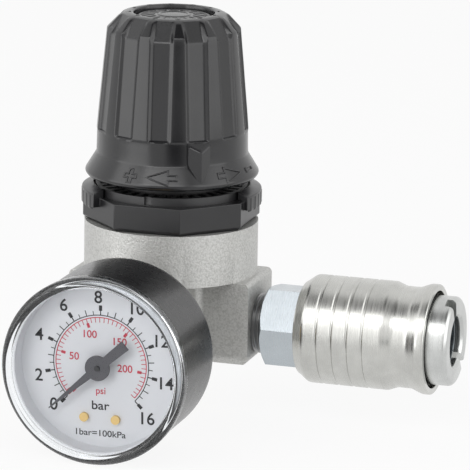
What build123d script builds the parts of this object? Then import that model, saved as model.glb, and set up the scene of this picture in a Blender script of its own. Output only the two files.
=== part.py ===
from build123d import *
from math import pi
import os

os.makedirs("parts", exist_ok=True)

# Compressed-air pressure regulator with gauge and push-to-connect coupler, in millimetres.
# The origin is the centre of the inlet mouth, +X runs with the air to the coupler, +Z up to the knob.

# Ports and casting
port_reach = 21.2           # regulator axis to each port mouth
arm_half = 9.0              # half width of a port arm
arm_bottom = -8.3           # underside of the port arms
arm_foot_round = 2.4
arm_round = 1.2
shelf_z = 10.8              # top of the arms and underside of the round housing
body_r = 19.6
body_top = 22.6
main_port_r = 5.72          # G1/4 core radius
main_port_depth = 11.0
side_port_r = 4.28          # G1/8 core radius
side_port_depth = 9.5
way_r = 4.0                 # drilled way behind a main port
chamber_r = 6.0             # valve chamber
chamber_top = -0.6
plug_thread_r = 6.6
plug_thread_top = -4.5
seat_pocket_r = 4.8
seat_top = 1.0
upper_way_r = 3.2
chamber_floor = 12.0        # floor of the diaphragm chamber
diaphragm_chamber_r = 14.0
diaphragm_seat_z = 15.5
bonnet_thread_r = 16.6
cross_way_r = 1.8           # outlet drilling above the seat
sense_way_r = 1.25          # gauge drillings
cross_way_z = 3.0

# Fits
run_fit = 0.05              # running clearance on radius
thread_fit = 0.03           # screwed parts, on radius
loose_fit = 0.3

# Valve
seat_hole_r = 2.8
seat_lip = 0.4
seal_t = 1.0
seal_r = 4.0
poppet_r = 4.5
poppet_t = 1.4
stem_r = 1.2
tail_r = 1.5
tail_length = 7.6
valve_wire = 0.7
valve_coil_r = 3.0
plug_hex = 15.0
plug_head = 4.5
washer_t = 0.8
washer_r = 8.0
plug_wall = 3.6             # metal below the spring pocket

# Diaphragm and its plate
rubber_t = 1.0
diaphragm_r = 16.4
diaphragm_dip = 0.3         # how far the middle of the diaphragm hangs below its rim
relief_flange_r = 4.6
relief_flange_t = 1.0
relief_shank_r = 2.5
relief_head_r = 3.6
relief_hole_r = 0.9
plate_r = 10.2
plate_t = 1.0
plate_boss_r = 6.2
plate_boss_h = 1.8

# Main spring, travelling plate and adjusting screw
coil_wire = 2.6
coil_r = 8.0
coil_turns = 4.0
spring_plate_z = 36.0       # underside of the travelling plate with the spring relaxed
spring_plate_t = 2.6
spring_plate_r = 10.0
spring_plate_hub_r = 6.0
spring_plate_hub_h = 5.4
spring_guide_h = 1.8
ear_r = 11.0
ear_width = 3.0
screw_thread_r = 3.9
screw_end_z = 29.5
collar_r = 7.0
collar_t = 2.0
screw_neck_r = 5.0
drive_hex = 8.0
drive_top = 64.0
clip_r = 7.0
clip_t = 0.8

# Bonnet
neck_r = 17.1
neck_gap = 0.2              # neck shoulder stands just off the casting
neck_top = 30.7
neck_rim_t = 0.9
dog_floor = 29.4
dog_count = 36
dog_arc = 4.4               # degrees of one bonnet dog
spring_space_r = 13.6
guide_r = 10.5              # bore that guides the travelling plate
guide_bottom = 26.6
slot_top = 48.0
barrel_foot_r = 12.6
barrel_top_r = 11.8
bonnet_top = 58.0
roof_t = 4.0
neck_slit_w = 1.5
neck_slit_depth = 0.8

# Panel nut
nut_corner_r = 20.0
nut_turn = 23.5             # first corner, degrees from +X
nut_top = 28.8
nut_chamfer = 0.8
lug_inner_r = 17.6
lug_outer_r = 20.2
lug_top = 31.4
lug_slope = 1.0             # inner edge of a lug is this much lower
lug_half_arc = 32.0
lug_centre = 16.7           # degrees from +X

# Knob
knob_travel = 1.6           # from free to locked
knob_top = 69.6
knob_rim_r = 10.4
knob_recess_r = 9.0
knob_recess = 2.0
knob_pad_top_r = 15.05
knob_pad_top = 66.2
knob_neck_r = 17.35
knob_neck_z = 37.8
knob_skirt_r = 19.65
knob_skirt_z = 33.8
knob_foot_z = 32.6
knob_bore_foot_r = 13.2
knob_bore_top_r = 12.5
knob_roof = 61.0
knob_dog_bottom = 31.4
knob_dog_inner_r = 13.8
knob_dog_outer_r = 15.9
knob_dog_arc = 4.0
flute_count = 15
flute_front = -68.6         # first wide flute, degrees from +X
flute_lead = 2.0            # narrow flutes stand this much nearer the first one
wide_flute = 3.0
narrow_flute = 1.3
flute_bottom = 43.2
flute_foot_r = 15.7
flute_top = 66.4
flute_top_r = 13.8
flute_run_out_r = 11.6
pointer_angle = -52.1
pointer_half = 2.6
pointer_top = 43.0
pointer_shoulder = 40.6
pointer_tip = 33.9
pointer_ridge_r = 19.2
cap_dome = 0.5

# Gauge, facing -Y
gauge_case_r = 20.3
gauge_back = -29.75
gauge_lip = -50.2           # front edge of the case
gauge_front = -53.7
case_wall = 1.0
case_round = 1.6
bezel_step = 0.45           # the window rim stands out this far beyond the case
pane_inset = 1.9            # the pane is this much smaller in radius than the case
pane_t = 1.6
pane_setback = 0.7
window_skirt = 2.4
dial_y = -47.3
dial_t = 0.4
dial_gap = 0.7              # between the dial and the wall of the case
dial_bush_r = 1.6
screw_spread = 3.6          # dial screws left and right of the middle
screw_drop = 11.7           # and below it
dial_screw_r = 1.0
dial_screw_head = 0.7
dial_screw_shank_r = 0.6
dial_screw_length = 6.2
pointer_y = -49.3
pointer_t = 0.5
pointer_reach = 14.8
pointer_tail = 8.4
pointer_hub_r = 2.8
arbor_r = 0.6
gauge_hex = 14.0
gauge_hex_gap = 1.0
spigot_r = 5.2
socket_block_front = -36.6
tube_r = 13.2               # middle of the bourdon tube
tube_t = 1.6
tube_wall = 0.35
tube_w = 4.4
tube_y = -34.4              # middle of the tube across
tube_start = -74.0          # rooted in the socket block
tube_end = 196.0
block_w = 10.4              # socket block inside the case
block_top = -2.0
block_skin = 0.4            # metal of the socket block outside the tube
frame_t = 0.8
frame_gap = 4.2
pinion_teeth = 12
sector_teeth = 80
gear_module = 0.25
socket_bore_r = 1.0
sector_pivot_angle = 210.0  # seen by the reader, from +X
sector_lead = 9.0           # degrees of teeth past the pinion at zero
frame_w = 5.0
pillar_r = 1.2
pillar_lead = 3.7           # pillars stand this far outside the two arbors
pillar_tail = 3.6
sector_hub_r = 1.8
tail_arm = 3.2
link_pin_r = 0.5
gear_t = 1.2
sector_arc = 62.0
gear_back = 0.12            # extra centre distance, the backlash

# Coupler
thread_neck_r = 6.3
thread_neck = 2.5
hex_af = 17.0
hex_turn = 24.3             # a corner stands this far from +Z towards the gauge side
hex_length = 9.5
coupler_thread = 10.4
coupler_way_r = 3.4
coupler_floor = 4.8         # rear end of the check valve's chamber
spring_flange_r = 9.9
spring_flange_t = 0.8
valve_chamber_r = 6.2
barrel_r = 8.6
barrel_thread_r = 7.2
barrel_thread = 5.0
mouth_r = 5.3
mouth_length = 8.8
cage_r = 5.6
coupler_length = 45.8       # port mouth to the front of the coupler
nose_r = 10.0
nose_length = 5.8
nose_thread_r = 7.5
nose_lip = 2.0
slot_w = 3.0
slot_depth = 2.0
slot_r = 8.2
sleeve_lap = 1.2            # the sleeve covers this much of the hexagon
sleeve_r = 12.2
sleeve_rear_r = 10.6
sleeve_bore_r = 10.05
sleeve_chamfer = 2.4
sleeve_cone = 2.2
sleeve_waist = 3.4          # straight length behind the flare
sleeve_neck_r = 11.35
sleeve_flare_length = 2.5
sleeve_rim_width = 1.8
sleeve_rim_r = 12.35
nose_show = 4.7             # the nose stands out of the sleeve
sleeve_land = 6.2           # land that holds the balls in
ring_setback = 3.0          # stop ring's groove behind the nose
sleeve_mouth_r = 10.9
groove_lead = 5.6           # first groove from the back edge
groove_tail = 4.3           # last groove behind the step
groove_count = 4
groove_w = 0.7
groove_depth = 0.25
sleeve_wire = 1.0
sleeve_coil_r = 9.3
sleeve_turns = 6.0
ball_r = 2.0
ball_count = 6
ball_setback = 2.4          # balls behind the front of the land
stop_ring_r = 9.6
stop_ring_t = 0.9
stop_groove_r = 8.0
seal_setback = 19.0         # back of the seal from the front of the coupler
seal_length = 2.4
seal_groove_r = 6.9
seal_bore_r = 4.7
valve_head_r = 5.5
valve_head_t = 1.4
valve_tube_r = 3.4
valve_tube_bore_r = 2.4
valve_tube_length = 9.0
fin_length = 5.0
fin_w = 1.2
coupler_coil_r = 4.9
coupler_wire = 0.8
coupler_turns = 6.0

axis_x = port_reach
port_mouth_x = 2 * port_reach
mouth_y = -port_reach
upright = Plane(origin=(axis_x, 0, 0), x_dir=(1, 0, 0), z_dir=(0, -1, 0))
lying = Plane(origin=(axis_x, 0, 0), x_dir=(1, 0, 0), z_dir=(0, 0, 1))
along = Plane(origin=(port_mouth_x, 0, 0), x_dir=(1, 0, 0), z_dir=(0, -1, 0))
knob_axis = Axis((axis_x, 0, 0), (0, 0, 1))
gauge_axis = Axis((axis_x, 0, 0), (0, 1, 0))
coupler_axis = Axis((port_mouth_x, 0, 0), (1, 0, 0))


def level(z):
    """Horizontal plane on the regulator's axis."""
    return Plane(origin=(axis_x, 0, z))


def dial_level(y):
    """Upright plane on the gauge's axis, facing the reader."""
    return Plane(origin=(axis_x, y, 0), x_dir=(1, 0, 0), z_dir=(0, -1, 0))


def station(s):
    """Plane across the coupler, s from the outlet mouth."""
    return Plane(origin=(port_mouth_x + s, 0, 0), x_dir=(0, -1, 0), z_dir=(1, 0, 0))


def turn(plane, axis, *outline, mode=Mode.ADD):
    """Turn a closed outline of (radius, height) points about an axis."""
    with BuildSketch(plane) as section:
        with BuildLine():
            Polyline(*outline, close=True)
        make_face()
    revolve(section.sketch, axis=axis, mode=mode)


def lathe(*outline, mode=Mode.ADD):
    """Turn (radius, z) points about the regulator's axis."""
    turn(upright, knob_axis, *outline, mode=mode)


def gauge_lathe(*outline, mode=Mode.ADD):
    """Turn (radius, y) points about the gauge's axis."""
    turn(lying, gauge_axis, *outline, mode=mode)


def coupler_lathe(*outline, mode=Mode.ADD):
    """Turn (station, radius) points about the coupler's axis."""
    turn(along, coupler_axis, *outline, mode=mode)


def coil(start, direction, length, radius, wire, turns):
    """A round-wire spring whose ends just touch two planes, length apart."""
    pitch = (length - wire) / turns
    frame = Plane(origin=start, z_dir=direction)
    path = frame * Helix(pitch, length - wire, radius)
    path = path.moved(Location(Vector(*direction) * (wire / 2)))
    with BuildSketch(Plane(origin=path @ 0, z_dir=path % 0)) as section:
        RegularPolygon(wire / 2, 8)
    sweep(section.sketch, path=path, is_frenet=True)


def dog_ring(bottom, top, inner, outer, arc, start=0):
    """A ring of small clutch dogs, arc degrees wide, standing between two levels."""
    middle = (inner + outer) / 2
    with BuildSketch(level(bottom)) as dogs:
        with PolarLocations(middle, dog_count, start_angle=start):
            Rectangle(outer - inner, middle * arc * pi / 180)
    extrude(dogs.sketch, amount=top - bottom)


# Casting

with BuildPart() as body_casting:
    with BuildSketch(level(arm_bottom)) as arms:
        Rectangle(2 * port_reach, 2 * arm_half)
        Rectangle(2 * arm_half, 2 * port_reach)
        inner = arms.vertices().sort_by(lambda v: abs(v.X) + abs(v.Y))[:4]
        fillet(inner, 2.0)
    extrude(amount=shelf_z - arm_bottom)
    fillet(body_casting.faces().sort_by(Axis.Z)[0].edges(), arm_foot_round)
    tops = body_casting.faces().sort_by(Axis.Z)[-1].edges()
    ends = tops.filter_by(lambda e: (e.center() - Vector(axis_x, 0, shelf_z)).length > port_reach - 1)
    fillet(ends, arm_round)
    with BuildSketch(level(shelf_z)):
        Circle(body_r)
    extrude(amount=body_top - shelf_z)
    # diaphragm chamber and bonnet thread
    lathe((0, chamber_floor), (diaphragm_chamber_r, chamber_floor),
          (diaphragm_chamber_r, diaphragm_seat_z), (bonnet_thread_r, diaphragm_seat_z),
          (bonnet_thread_r, body_top + 1), (0, body_top + 1), mode=Mode.SUBTRACT)
    # valve chamber, seat pocket and upper way
    lathe((0, arm_bottom - 1), (plug_thread_r, arm_bottom - 1), (plug_thread_r, plug_thread_top),
          (chamber_r, plug_thread_top), (chamber_r, chamber_top), (seat_pocket_r, chamber_top),
          (seat_pocket_r, seat_top), (upper_way_r, seat_top), (upper_way_r, chamber_floor + 1),
          (0, chamber_floor + 1), mode=Mode.SUBTRACT)
    # main ports, left and right
    with BuildSketch(Plane(origin=(0, 0, 0), z_dir=(1, 0, 0))):
        Circle(main_port_r)
    extrude(amount=main_port_depth, mode=Mode.SUBTRACT)
    with BuildSketch(Plane(origin=(0, 0, 0), z_dir=(1, 0, 0))):
        Circle(way_r)
    extrude(amount=axis_x - chamber_r + 0.5, mode=Mode.SUBTRACT)
    with BuildSketch(Plane(origin=(port_mouth_x, 0, 0), z_dir=(-1, 0, 0))):
        Circle(main_port_r)
    extrude(amount=main_port_depth, mode=Mode.SUBTRACT)
    with BuildSketch(Plane(origin=(port_mouth_x, 0, 0), z_dir=(-1, 0, 0))):
        Circle(way_r)
    extrude(amount=port_reach - chamber_r - 1.5, mode=Mode.SUBTRACT)
    with BuildSketch(Plane(origin=(axis_x, 0, cross_way_z), z_dir=(1, 0, 0))):
        Circle(cross_way_r)
    extrude(amount=chamber_r + 2, mode=Mode.SUBTRACT)
    # gauge ports, front and rear
    for side in (-1, 1):
        with BuildSketch(Plane(origin=(axis_x, side * port_reach, 0), z_dir=(0, -side, 0))):
            Circle(side_port_r)
        extrude(amount=side_port_depth, mode=Mode.SUBTRACT)
    with BuildSketch(Plane(origin=(axis_x, 0, cross_way_z - 0.1), z_dir=(0, 1, 0))):
        Circle(sense_way_r)
    extrude(amount=port_reach - side_port_depth + 1, both=True, mode=Mode.SUBTRACT)
body_casting.part.label = "body_casting"
export_step(body_casting.part, "parts/body_casting.step")

# Valve

with BuildPart() as valve_seat:
    lathe((seat_hole_r, chamber_top - seat_lip), (seat_hole_r + 0.5, chamber_top - seat_lip),
          (seat_hole_r + 0.9, chamber_top), (seat_pocket_r - thread_fit, chamber_top),
          (seat_pocket_r - thread_fit, seat_top), (seat_hole_r, seat_top))
valve_seat.part.label = "valve_seat"
export_step(valve_seat.part, "parts/valve_seat.step")

seal_top = chamber_top - seat_lip
poppet_top = seal_top - seal_t
poppet_bottom = poppet_top - poppet_t
rubber_top = diaphragm_seat_z + rubber_t
relief_top = diaphragm_seat_z - diaphragm_dip
stem_top = relief_top - relief_flange_t
plug_inner = plug_thread_top - 0.2
plug_seat = arm_bottom - washer_t
plug_bottom = plug_seat - plug_head
spring_pocket = plug_bottom + plug_wall

with BuildPart() as valve_poppet:
    lathe((0, stem_top), (stem_r, stem_top), (stem_r, poppet_top), (poppet_r, poppet_top),
          (poppet_r, poppet_bottom), (tail_r, poppet_bottom), (tail_r, poppet_bottom - tail_length),
          (0, poppet_bottom - tail_length))
valve_poppet.part.label = "valve_poppet"
export_step(valve_poppet.part, "parts/valve_poppet.step")

with BuildPart() as valve_seal:
    lathe((stem_r, poppet_top), (seal_r, poppet_top), (seal_r, seal_top), (stem_r, seal_top))
valve_seal.part.label = "valve_seal"
export_step(valve_seal.part, "parts/valve_seal.step")

with BuildPart() as valve_spring:
    coil((axis_x, 0, spring_pocket), (0, 0, 1), poppet_bottom - spring_pocket, valve_coil_r,
         valve_wire, 4.0)
valve_spring.part.label = "valve_spring"
export_step(valve_spring.part, "parts/valve_spring.step")

with BuildPart() as bottom_plug:
    with BuildSketch(level(plug_bottom)):
        RegularPolygon(plug_hex / 2, 6, major_radius=False)
    extrude(amount=plug_head)
    lathe((0, plug_seat), (plug_thread_r - thread_fit, plug_seat),
          (plug_thread_r - thread_fit, plug_inner), (0, plug_inner))
    lathe((0, spring_pocket), (chamber_r - 1.6, spring_pocket), (chamber_r - 1.6, plug_inner + 1),
          (0, plug_inner + 1), mode=Mode.SUBTRACT)
    lathe((0, plug_bottom + 1), (tail_r + run_fit, plug_bottom + 1),
          (tail_r + run_fit, spring_pocket + 1), (0, spring_pocket + 1), mode=Mode.SUBTRACT)
    chamfer(bottom_plug.faces().sort_by(Axis.Z)[0].edges(), 0.5)
bottom_plug.part.label = "bottom_plug"
export_step(bottom_plug.part, "parts/bottom_plug.step")

with BuildPart() as bottom_plug_seal:
    lathe((plug_thread_r + 0.05, plug_seat), (washer_r, plug_seat), (washer_r, arm_bottom),
          (plug_thread_r + 0.05, arm_bottom))
bottom_plug_seal.part.label = "bottom_plug_seal"
export_step(bottom_plug_seal.part, "parts/bottom_plug_seal.step")

# Socket-head plug in the spare rear port
with BuildPart() as rear_port_plug:
    gauge_lathe((0, port_reach - side_port_depth + 1.5),
                (side_port_r - thread_fit, port_reach - side_port_depth + 1.5),
                (side_port_r - thread_fit, port_reach), (side_port_r + 2.4, port_reach),
                (side_port_r + 2.4, port_reach + 1.8), (0, port_reach + 1.8))
    with BuildSketch(Plane(origin=(axis_x, port_reach + 1.8, 0), z_dir=(0, -1, 0))):
        RegularPolygon(2.5, 6, major_radius=False)
    extrude(amount=5.0, mode=Mode.SUBTRACT)
rear_port_plug.part.label = "rear_port_plug"
export_step(rear_port_plug.part, "parts/rear_port_plug.step")

# Diaphragm and plate

with BuildPart() as diaphragm:
    low = relief_top
    high = relief_top + rubber_t
    lathe((relief_shank_r, low), (plate_r + 0.7, low), (plate_r + 1.2, low + 1.1),
          (plate_r + 2.5, low + 1.1), (plate_r + 3.0, diaphragm_seat_z),
          (diaphragm_r, diaphragm_seat_z), (diaphragm_r, rubber_top), (plate_r + 3.3, rubber_top),
          (plate_r + 2.9, low + 2.1), (plate_r + 0.9, low + 2.1), (plate_r + 0.3, high),
          (relief_shank_r, high))
diaphragm.part.label = "diaphragm"
export_step(diaphragm.part, "parts/diaphragm.step")

plate_z = relief_top + rubber_t
plate_top = plate_z + plate_t

with BuildPart() as diaphragm_plate:
    lathe((relief_shank_r, plate_z), (plate_r, plate_z), (plate_r, plate_top),
          (plate_boss_r, plate_top), (plate_boss_r - 0.4, plate_top + plate_boss_h),
          (relief_shank_r, plate_top + plate_boss_h))
diaphragm_plate.part.label = "diaphragm_plate"
export_step(diaphragm_plate.part, "parts/diaphragm_plate.step")

with BuildPart() as relief_seat:
    head_z = plate_top + plate_boss_h
    lathe((relief_hole_r, stem_top), (relief_flange_r, stem_top), (relief_flange_r, relief_top),
          (relief_shank_r, relief_top), (relief_shank_r, head_z), (relief_head_r, head_z),
          (relief_head_r - 0.5, head_z + 0.8), (relief_hole_r, head_z + 0.8))
relief_seat.part.label = "relief_seat"
export_step(relief_seat.part, "parts/relief_seat.step")

# Main spring, travelling plate, adjusting screw

with BuildPart() as main_spring:
    coil((axis_x, 0, plate_top), (0, 0, 1), spring_plate_z - plate_top, coil_r, coil_wire,
         coil_turns)
main_spring.part.label = "main_spring"
export_step(main_spring.part, "parts/main_spring.step")

plate_upper = spring_plate_z + spring_plate_t
with BuildPart() as spring_plate:
    lathe((screw_thread_r + run_fit, spring_plate_z - spring_guide_h),
          (coil_r - coil_wire / 2 - 0.4, spring_plate_z - spring_guide_h),
          (coil_r - coil_wire / 2 - 0.2, spring_plate_z), (spring_plate_r, spring_plate_z),
          (spring_plate_r, plate_upper), (spring_plate_hub_r, plate_upper),
          (spring_plate_hub_r, plate_upper + spring_plate_hub_h),
          (screw_thread_r + run_fit, plate_upper + spring_plate_hub_h))
    with BuildSketch(level(spring_plate_z)):
        Circle(spring_plate_r)
        Rectangle(2 * ear_r, ear_width)
        Circle(spring_plate_r - 1, mode=Mode.SUBTRACT)
    extrude(amount=spring_plate_t)
spring_plate.part.label = "spring_plate"
export_step(spring_plate.part, "parts/spring_plate.step")

roof_z = bonnet_top - roof_t
with BuildPart() as adjusting_screw:
    lathe((0, screw_end_z), (screw_thread_r - 0.6, screw_end_z), (screw_thread_r, screw_end_z + 0.6),
          (screw_thread_r, roof_z - collar_t), (collar_r, roof_z - collar_t), (collar_r, roof_z),
          (screw_neck_r, roof_z), (screw_neck_r, bonnet_top), (0, bonnet_top))
    lathe((0, bonnet_top), (screw_neck_r - 0.8, bonnet_top), (screw_neck_r - 0.8, bonnet_top + clip_t),
          (0, bonnet_top + clip_t))
    with BuildSketch(level(bonnet_top + clip_t)):
        RegularPolygon(drive_hex / 2, 6, major_radius=False)
    extrude(amount=drive_top - bonnet_top - clip_t)
    chamfer(adjusting_screw.faces().sort_by(Axis.Z)[-1].edges(), 0.4)
adjusting_screw.part.label = "adjusting_screw"
export_step(adjusting_screw.part, "parts/adjusting_screw.step")

with BuildPart() as screw_clip:
    with BuildSketch(level(bonnet_top)):
        Circle(clip_r)
        Circle(screw_neck_r - 0.8 + thread_fit, mode=Mode.SUBTRACT)
        with Locations((0, -clip_r)):
            Rectangle(2 * screw_neck_r - 3.0, 2 * clip_r - 1, mode=Mode.SUBTRACT)
    extrude(amount=clip_t)
screw_clip.part.label = "screw_clip"
export_step(screw_clip.part, "parts/screw_clip.step")

# Bonnet

neck_foot = body_top + neck_gap
rim_inner_r = neck_r - neck_rim_t
with BuildPart() as bonnet:
    lathe((spring_space_r, rubber_top), (bonnet_thread_r - thread_fit, rubber_top),
          (bonnet_thread_r - thread_fit, neck_foot), (neck_r, neck_foot), (neck_r, neck_top),
          (rim_inner_r, neck_top), (rim_inner_r, dog_floor), (barrel_foot_r, dog_floor),
          (barrel_top_r, bonnet_top), (screw_neck_r + run_fit, bonnet_top),
          (screw_neck_r + run_fit, roof_z), (guide_r, roof_z), (guide_r, guide_bottom),
          (spring_space_r - 0.6, guide_bottom - 2.0), (spring_space_r, guide_bottom - 4.0))
    # dogs that hold the knob when it is pushed down
    dog_ring(dog_floor, neck_top, barrel_foot_r + 0.7, rim_inner_r + 0.1, dog_arc)
    # slots for the ears of the travelling plate
    with BuildSketch(level(guide_bottom - 2.5)):
        Rectangle(2 * (ear_r + loose_fit), ear_width + loose_fit)
    extrude(amount=slot_top - guide_bottom + 2.5, mode=Mode.SUBTRACT)
    # slit in the front of the neck
    with BuildSketch(level(nut_top + 0.1)):
        with Locations((0, -neck_r)):
            Rectangle(neck_slit_w, 2 * neck_slit_depth)
    extrude(amount=neck_top, mode=Mode.SUBTRACT)
bonnet.part.label = "bonnet"
export_step(bonnet.part, "parts/bonnet.step")

# Panel nut with two grip lugs

with BuildPart() as grip_lugs:
    lathe((lug_inner_r, nut_top - 2), (lug_outer_r, nut_top - 2), (lug_outer_r, lug_top),
          (lug_inner_r, lug_top - lug_slope))
    with BuildSketch(level(nut_top - 3)):
        with BuildLine():
            edge = 30 * Vector(1, 0).rotate(Axis.Z, lug_half_arc)
            Polyline((0, 0), (edge.X, edge.Y), (edge.X, -edge.Y), close=True)
        make_face()
        mirror(about=Plane.YZ)
    extrude(amount=6, mode=Mode.INTERSECT)

with BuildPart() as panel_nut:
    with BuildSketch(level(body_top)):
        RegularPolygon(nut_corner_r, 8, rotation=nut_turn)
    extrude(amount=nut_top - body_top)
    chamfer(panel_nut.faces().sort_by(Axis.Z)[0].edges(), nut_chamfer)
    add(grip_lugs.part.rotate(knob_axis, lug_centre))
    lathe((0, body_top - 1), (neck_r + run_fit, body_top - 1), (neck_r + run_fit, lug_top + 1),
          (0, lug_top + 1), mode=Mode.SUBTRACT)
panel_nut.part.label = "panel_nut"
export_step(panel_nut.part, "parts/panel_nut.step")

# Knob

def flute(width, foot_r, top_r, run_out_r):
    """One straight flute, open at the shoulder of the knob."""
    with BuildSketch(upright) as section:
        with BuildLine():
            Polyline((foot_r, flute_bottom + 0.6), (top_r, flute_top), (run_out_r, knob_top - 0.2),
                     (run_out_r, knob_top + 1), (knob_skirt_r, knob_top + 1),
                     (knob_skirt_r, flute_bottom - 0.8), close=True)
        make_face()
    extrude(section.sketch, amount=width / 2, both=True)


with BuildPart() as wide_cutter:
    flute(wide_flute, flute_foot_r, flute_top_r, flute_run_out_r)

with BuildPart() as narrow_cutter:
    flute(narrow_flute, flute_foot_r + 0.5, flute_top_r + 0.5, flute_run_out_r + 0.5)

# Raised pointer on the neck of the knob
with BuildPart() as knob_arrow:
    with BuildSketch(level(pointer_tip)):
        with BuildLine():
            Polyline((knob_neck_r - 2, -2 * pointer_half), (knob_neck_r - 2, 2 * pointer_half),
                     (pointer_ridge_r, 0), close=True)
        make_face()
    extrude(amount=pointer_top - pointer_tip)
    with BuildSketch(Plane(origin=(axis_x, 0, 0), x_dir=(0, 1, 0), z_dir=(1, 0, 0))):
        with BuildLine():
            Polyline((0, pointer_tip), (pointer_half, pointer_shoulder - 2.2),
                     (pointer_half, pointer_top), (-pointer_half, pointer_top),
                     (-pointer_half, pointer_shoulder - 2.2), close=True)
        make_face()
    extrude(amount=knob_skirt_r + 2, mode=Mode.INTERSECT)
    with BuildSketch(upright):
        with BuildLine():
            Polyline((0, pointer_tip - 1), (knob_skirt_r + 2, pointer_tip - 1),
                     (knob_skirt_r + 2, pointer_shoulder - 1.2),
                     (knob_neck_r - 0.2, pointer_top), (0, pointer_top), close=True)
        make_face()
    extrude(amount=2 * pointer_half, both=True, mode=Mode.INTERSECT)

with BuildPart() as knob:
    lathe((0, knob_roof), (knob_bore_top_r, knob_roof), (knob_bore_foot_r, knob_foot_z),
          (knob_skirt_r - 1.0, knob_foot_z), (knob_skirt_r, knob_skirt_z - 0.5),
          (knob_skirt_r, knob_skirt_z), (knob_neck_r, knob_neck_z),
          (knob_neck_r - 0.15, knob_neck_z + 5.5), (knob_pad_top_r, knob_pad_top),
          (knob_pad_top_r - 0.3, knob_pad_top + 0.7), (flute_run_out_r + 0.3, knob_top - 0.3),
          (knob_rim_r, knob_top), (knob_recess_r, knob_top), (knob_recess_r, knob_top - knob_recess),
          (0, knob_top - knob_recess))
    # wide and narrow flutes in turn, the narrow ones a little nearer the front
    for index in range(-(flute_count // 2), flute_count // 2 + 1):
        angle = flute_front + index * 360 / flute_count
        if index % 2:
            shift = flute_lead if index < 0 else -flute_lead
            add(narrow_cutter.part.rotate(knob_axis, angle + shift), mode=Mode.SUBTRACT)
        else:
            add(wide_cutter.part.rotate(knob_axis, angle), mode=Mode.SUBTRACT)
    add(knob_arrow.part.rotate(knob_axis, pointer_angle))
    # clutch dogs under the skirt, set between the dogs of the bonnet
    dog_ring(knob_dog_bottom, knob_foot_z + 0.2, knob_dog_inner_r, knob_dog_outer_r, knob_dog_arc,
             start=180 / dog_count)
    # hexagon socket
    with BuildSketch(level(knob_roof)):
        RegularPolygon(drive_hex / 2 + run_fit, 6, major_radius=False)
    extrude(amount=drive_top - knob_roof + knob_travel + loose_fit, mode=Mode.SUBTRACT)
knob.part.label = "knob"
export_step(knob.part, "parts/knob.step")

with BuildPart() as knob_cap:
    floor_z = knob_top - knob_recess
    lathe((0, floor_z), (knob_recess_r - run_fit, floor_z), (knob_recess_r - run_fit, floor_z + 0.9),
          (knob_recess_r - 0.6, floor_z + 1.1), (knob_recess_r / 2, floor_z + 1.1 + cap_dome * 0.7),
          (0, floor_z + 1.1 + cap_dome))
knob_cap.part.label = "knob_cap"
export_step(knob_cap.part, "parts/knob_cap.step")

# Gauge

with BuildPart() as gauge_case:
    gauge_lathe((spigot_r, gauge_back), (gauge_case_r - case_round, gauge_back),
                (gauge_case_r - 0.45, gauge_back - 0.45), (gauge_case_r, gauge_back - case_round),
                (gauge_case_r, gauge_lip), (gauge_case_r - case_wall, gauge_lip),
                (gauge_case_r - case_wall, gauge_back - case_wall - 0.8),
                (gauge_case_r - case_wall - 0.8, gauge_back - case_wall),
                (spigot_r, gauge_back - case_wall))
gauge_case.part.label = "gauge_case"
export_step(gauge_case.part, "parts/gauge_case.step")

# Clear snap-in window: rim, pane and a skirt inside the case
bezel_r = gauge_case_r + bezel_step
pane_r = gauge_case_r - pane_inset
pane_front = gauge_front + pane_setback
skirt_r = gauge_case_r - case_wall - thread_fit
with BuildPart() as gauge_window:
    gauge_lathe((0, pane_front), (pane_r, pane_front), (pane_r + 0.5, gauge_front),
                (bezel_r - 0.8, gauge_front), (bezel_r, gauge_front + 0.8), (bezel_r, gauge_lip),
                (skirt_r, gauge_lip), (skirt_r, gauge_lip + window_skirt),
                (skirt_r - 0.9, gauge_lip + window_skirt), (skirt_r - 0.9, pane_front + pane_t + 0.8),
                (skirt_r - 1.7, pane_front + pane_t), (0, pane_front + pane_t))
gauge_window.part.label = "gauge_window"
export_step(gauge_window.part, "parts/gauge_window.step")

dial_r = gauge_case_r - case_wall - dial_gap
with BuildPart() as gauge_dial:
    with BuildSketch(dial_level(dial_y + dial_t)):
        Circle(dial_r)
        Circle(dial_bush_r, mode=Mode.SUBTRACT)
        with Locations((-screw_spread, -screw_drop), (screw_spread, -screw_drop)):
            Circle(dial_screw_shank_r + run_fit, mode=Mode.SUBTRACT)
    extrude(amount=dial_t)
gauge_dial.part.label = "gauge_dial"
export_step(gauge_dial.part, "parts/gauge_dial.step")

with BuildPart() as bourdon_tube:
    with BuildSketch(lying) as band:
        with Locations((tube_r, tube_y)):
            RectangleRounded(tube_t, tube_w, tube_t / 2 - 0.05)
    revolve(band.sketch.rotate(gauge_axis, -tube_end), axis=gauge_axis,
            revolution_arc=tube_end - tube_start)
    with BuildSketch(lying) as passage:
        with Locations((tube_r, tube_y)):
            Rectangle(tube_t - 2 * tube_wall, tube_w - 2 * tube_wall - 0.3)
    revolve(passage.sketch.rotate(gauge_axis, -tube_end + 3), axis=gauge_axis,
            revolution_arc=tube_end - tube_start, mode=Mode.SUBTRACT)
bourdon_tube.part.label = "bourdon_tube"
export_step(bourdon_tube.part, "parts/bourdon_tube.step")

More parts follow.
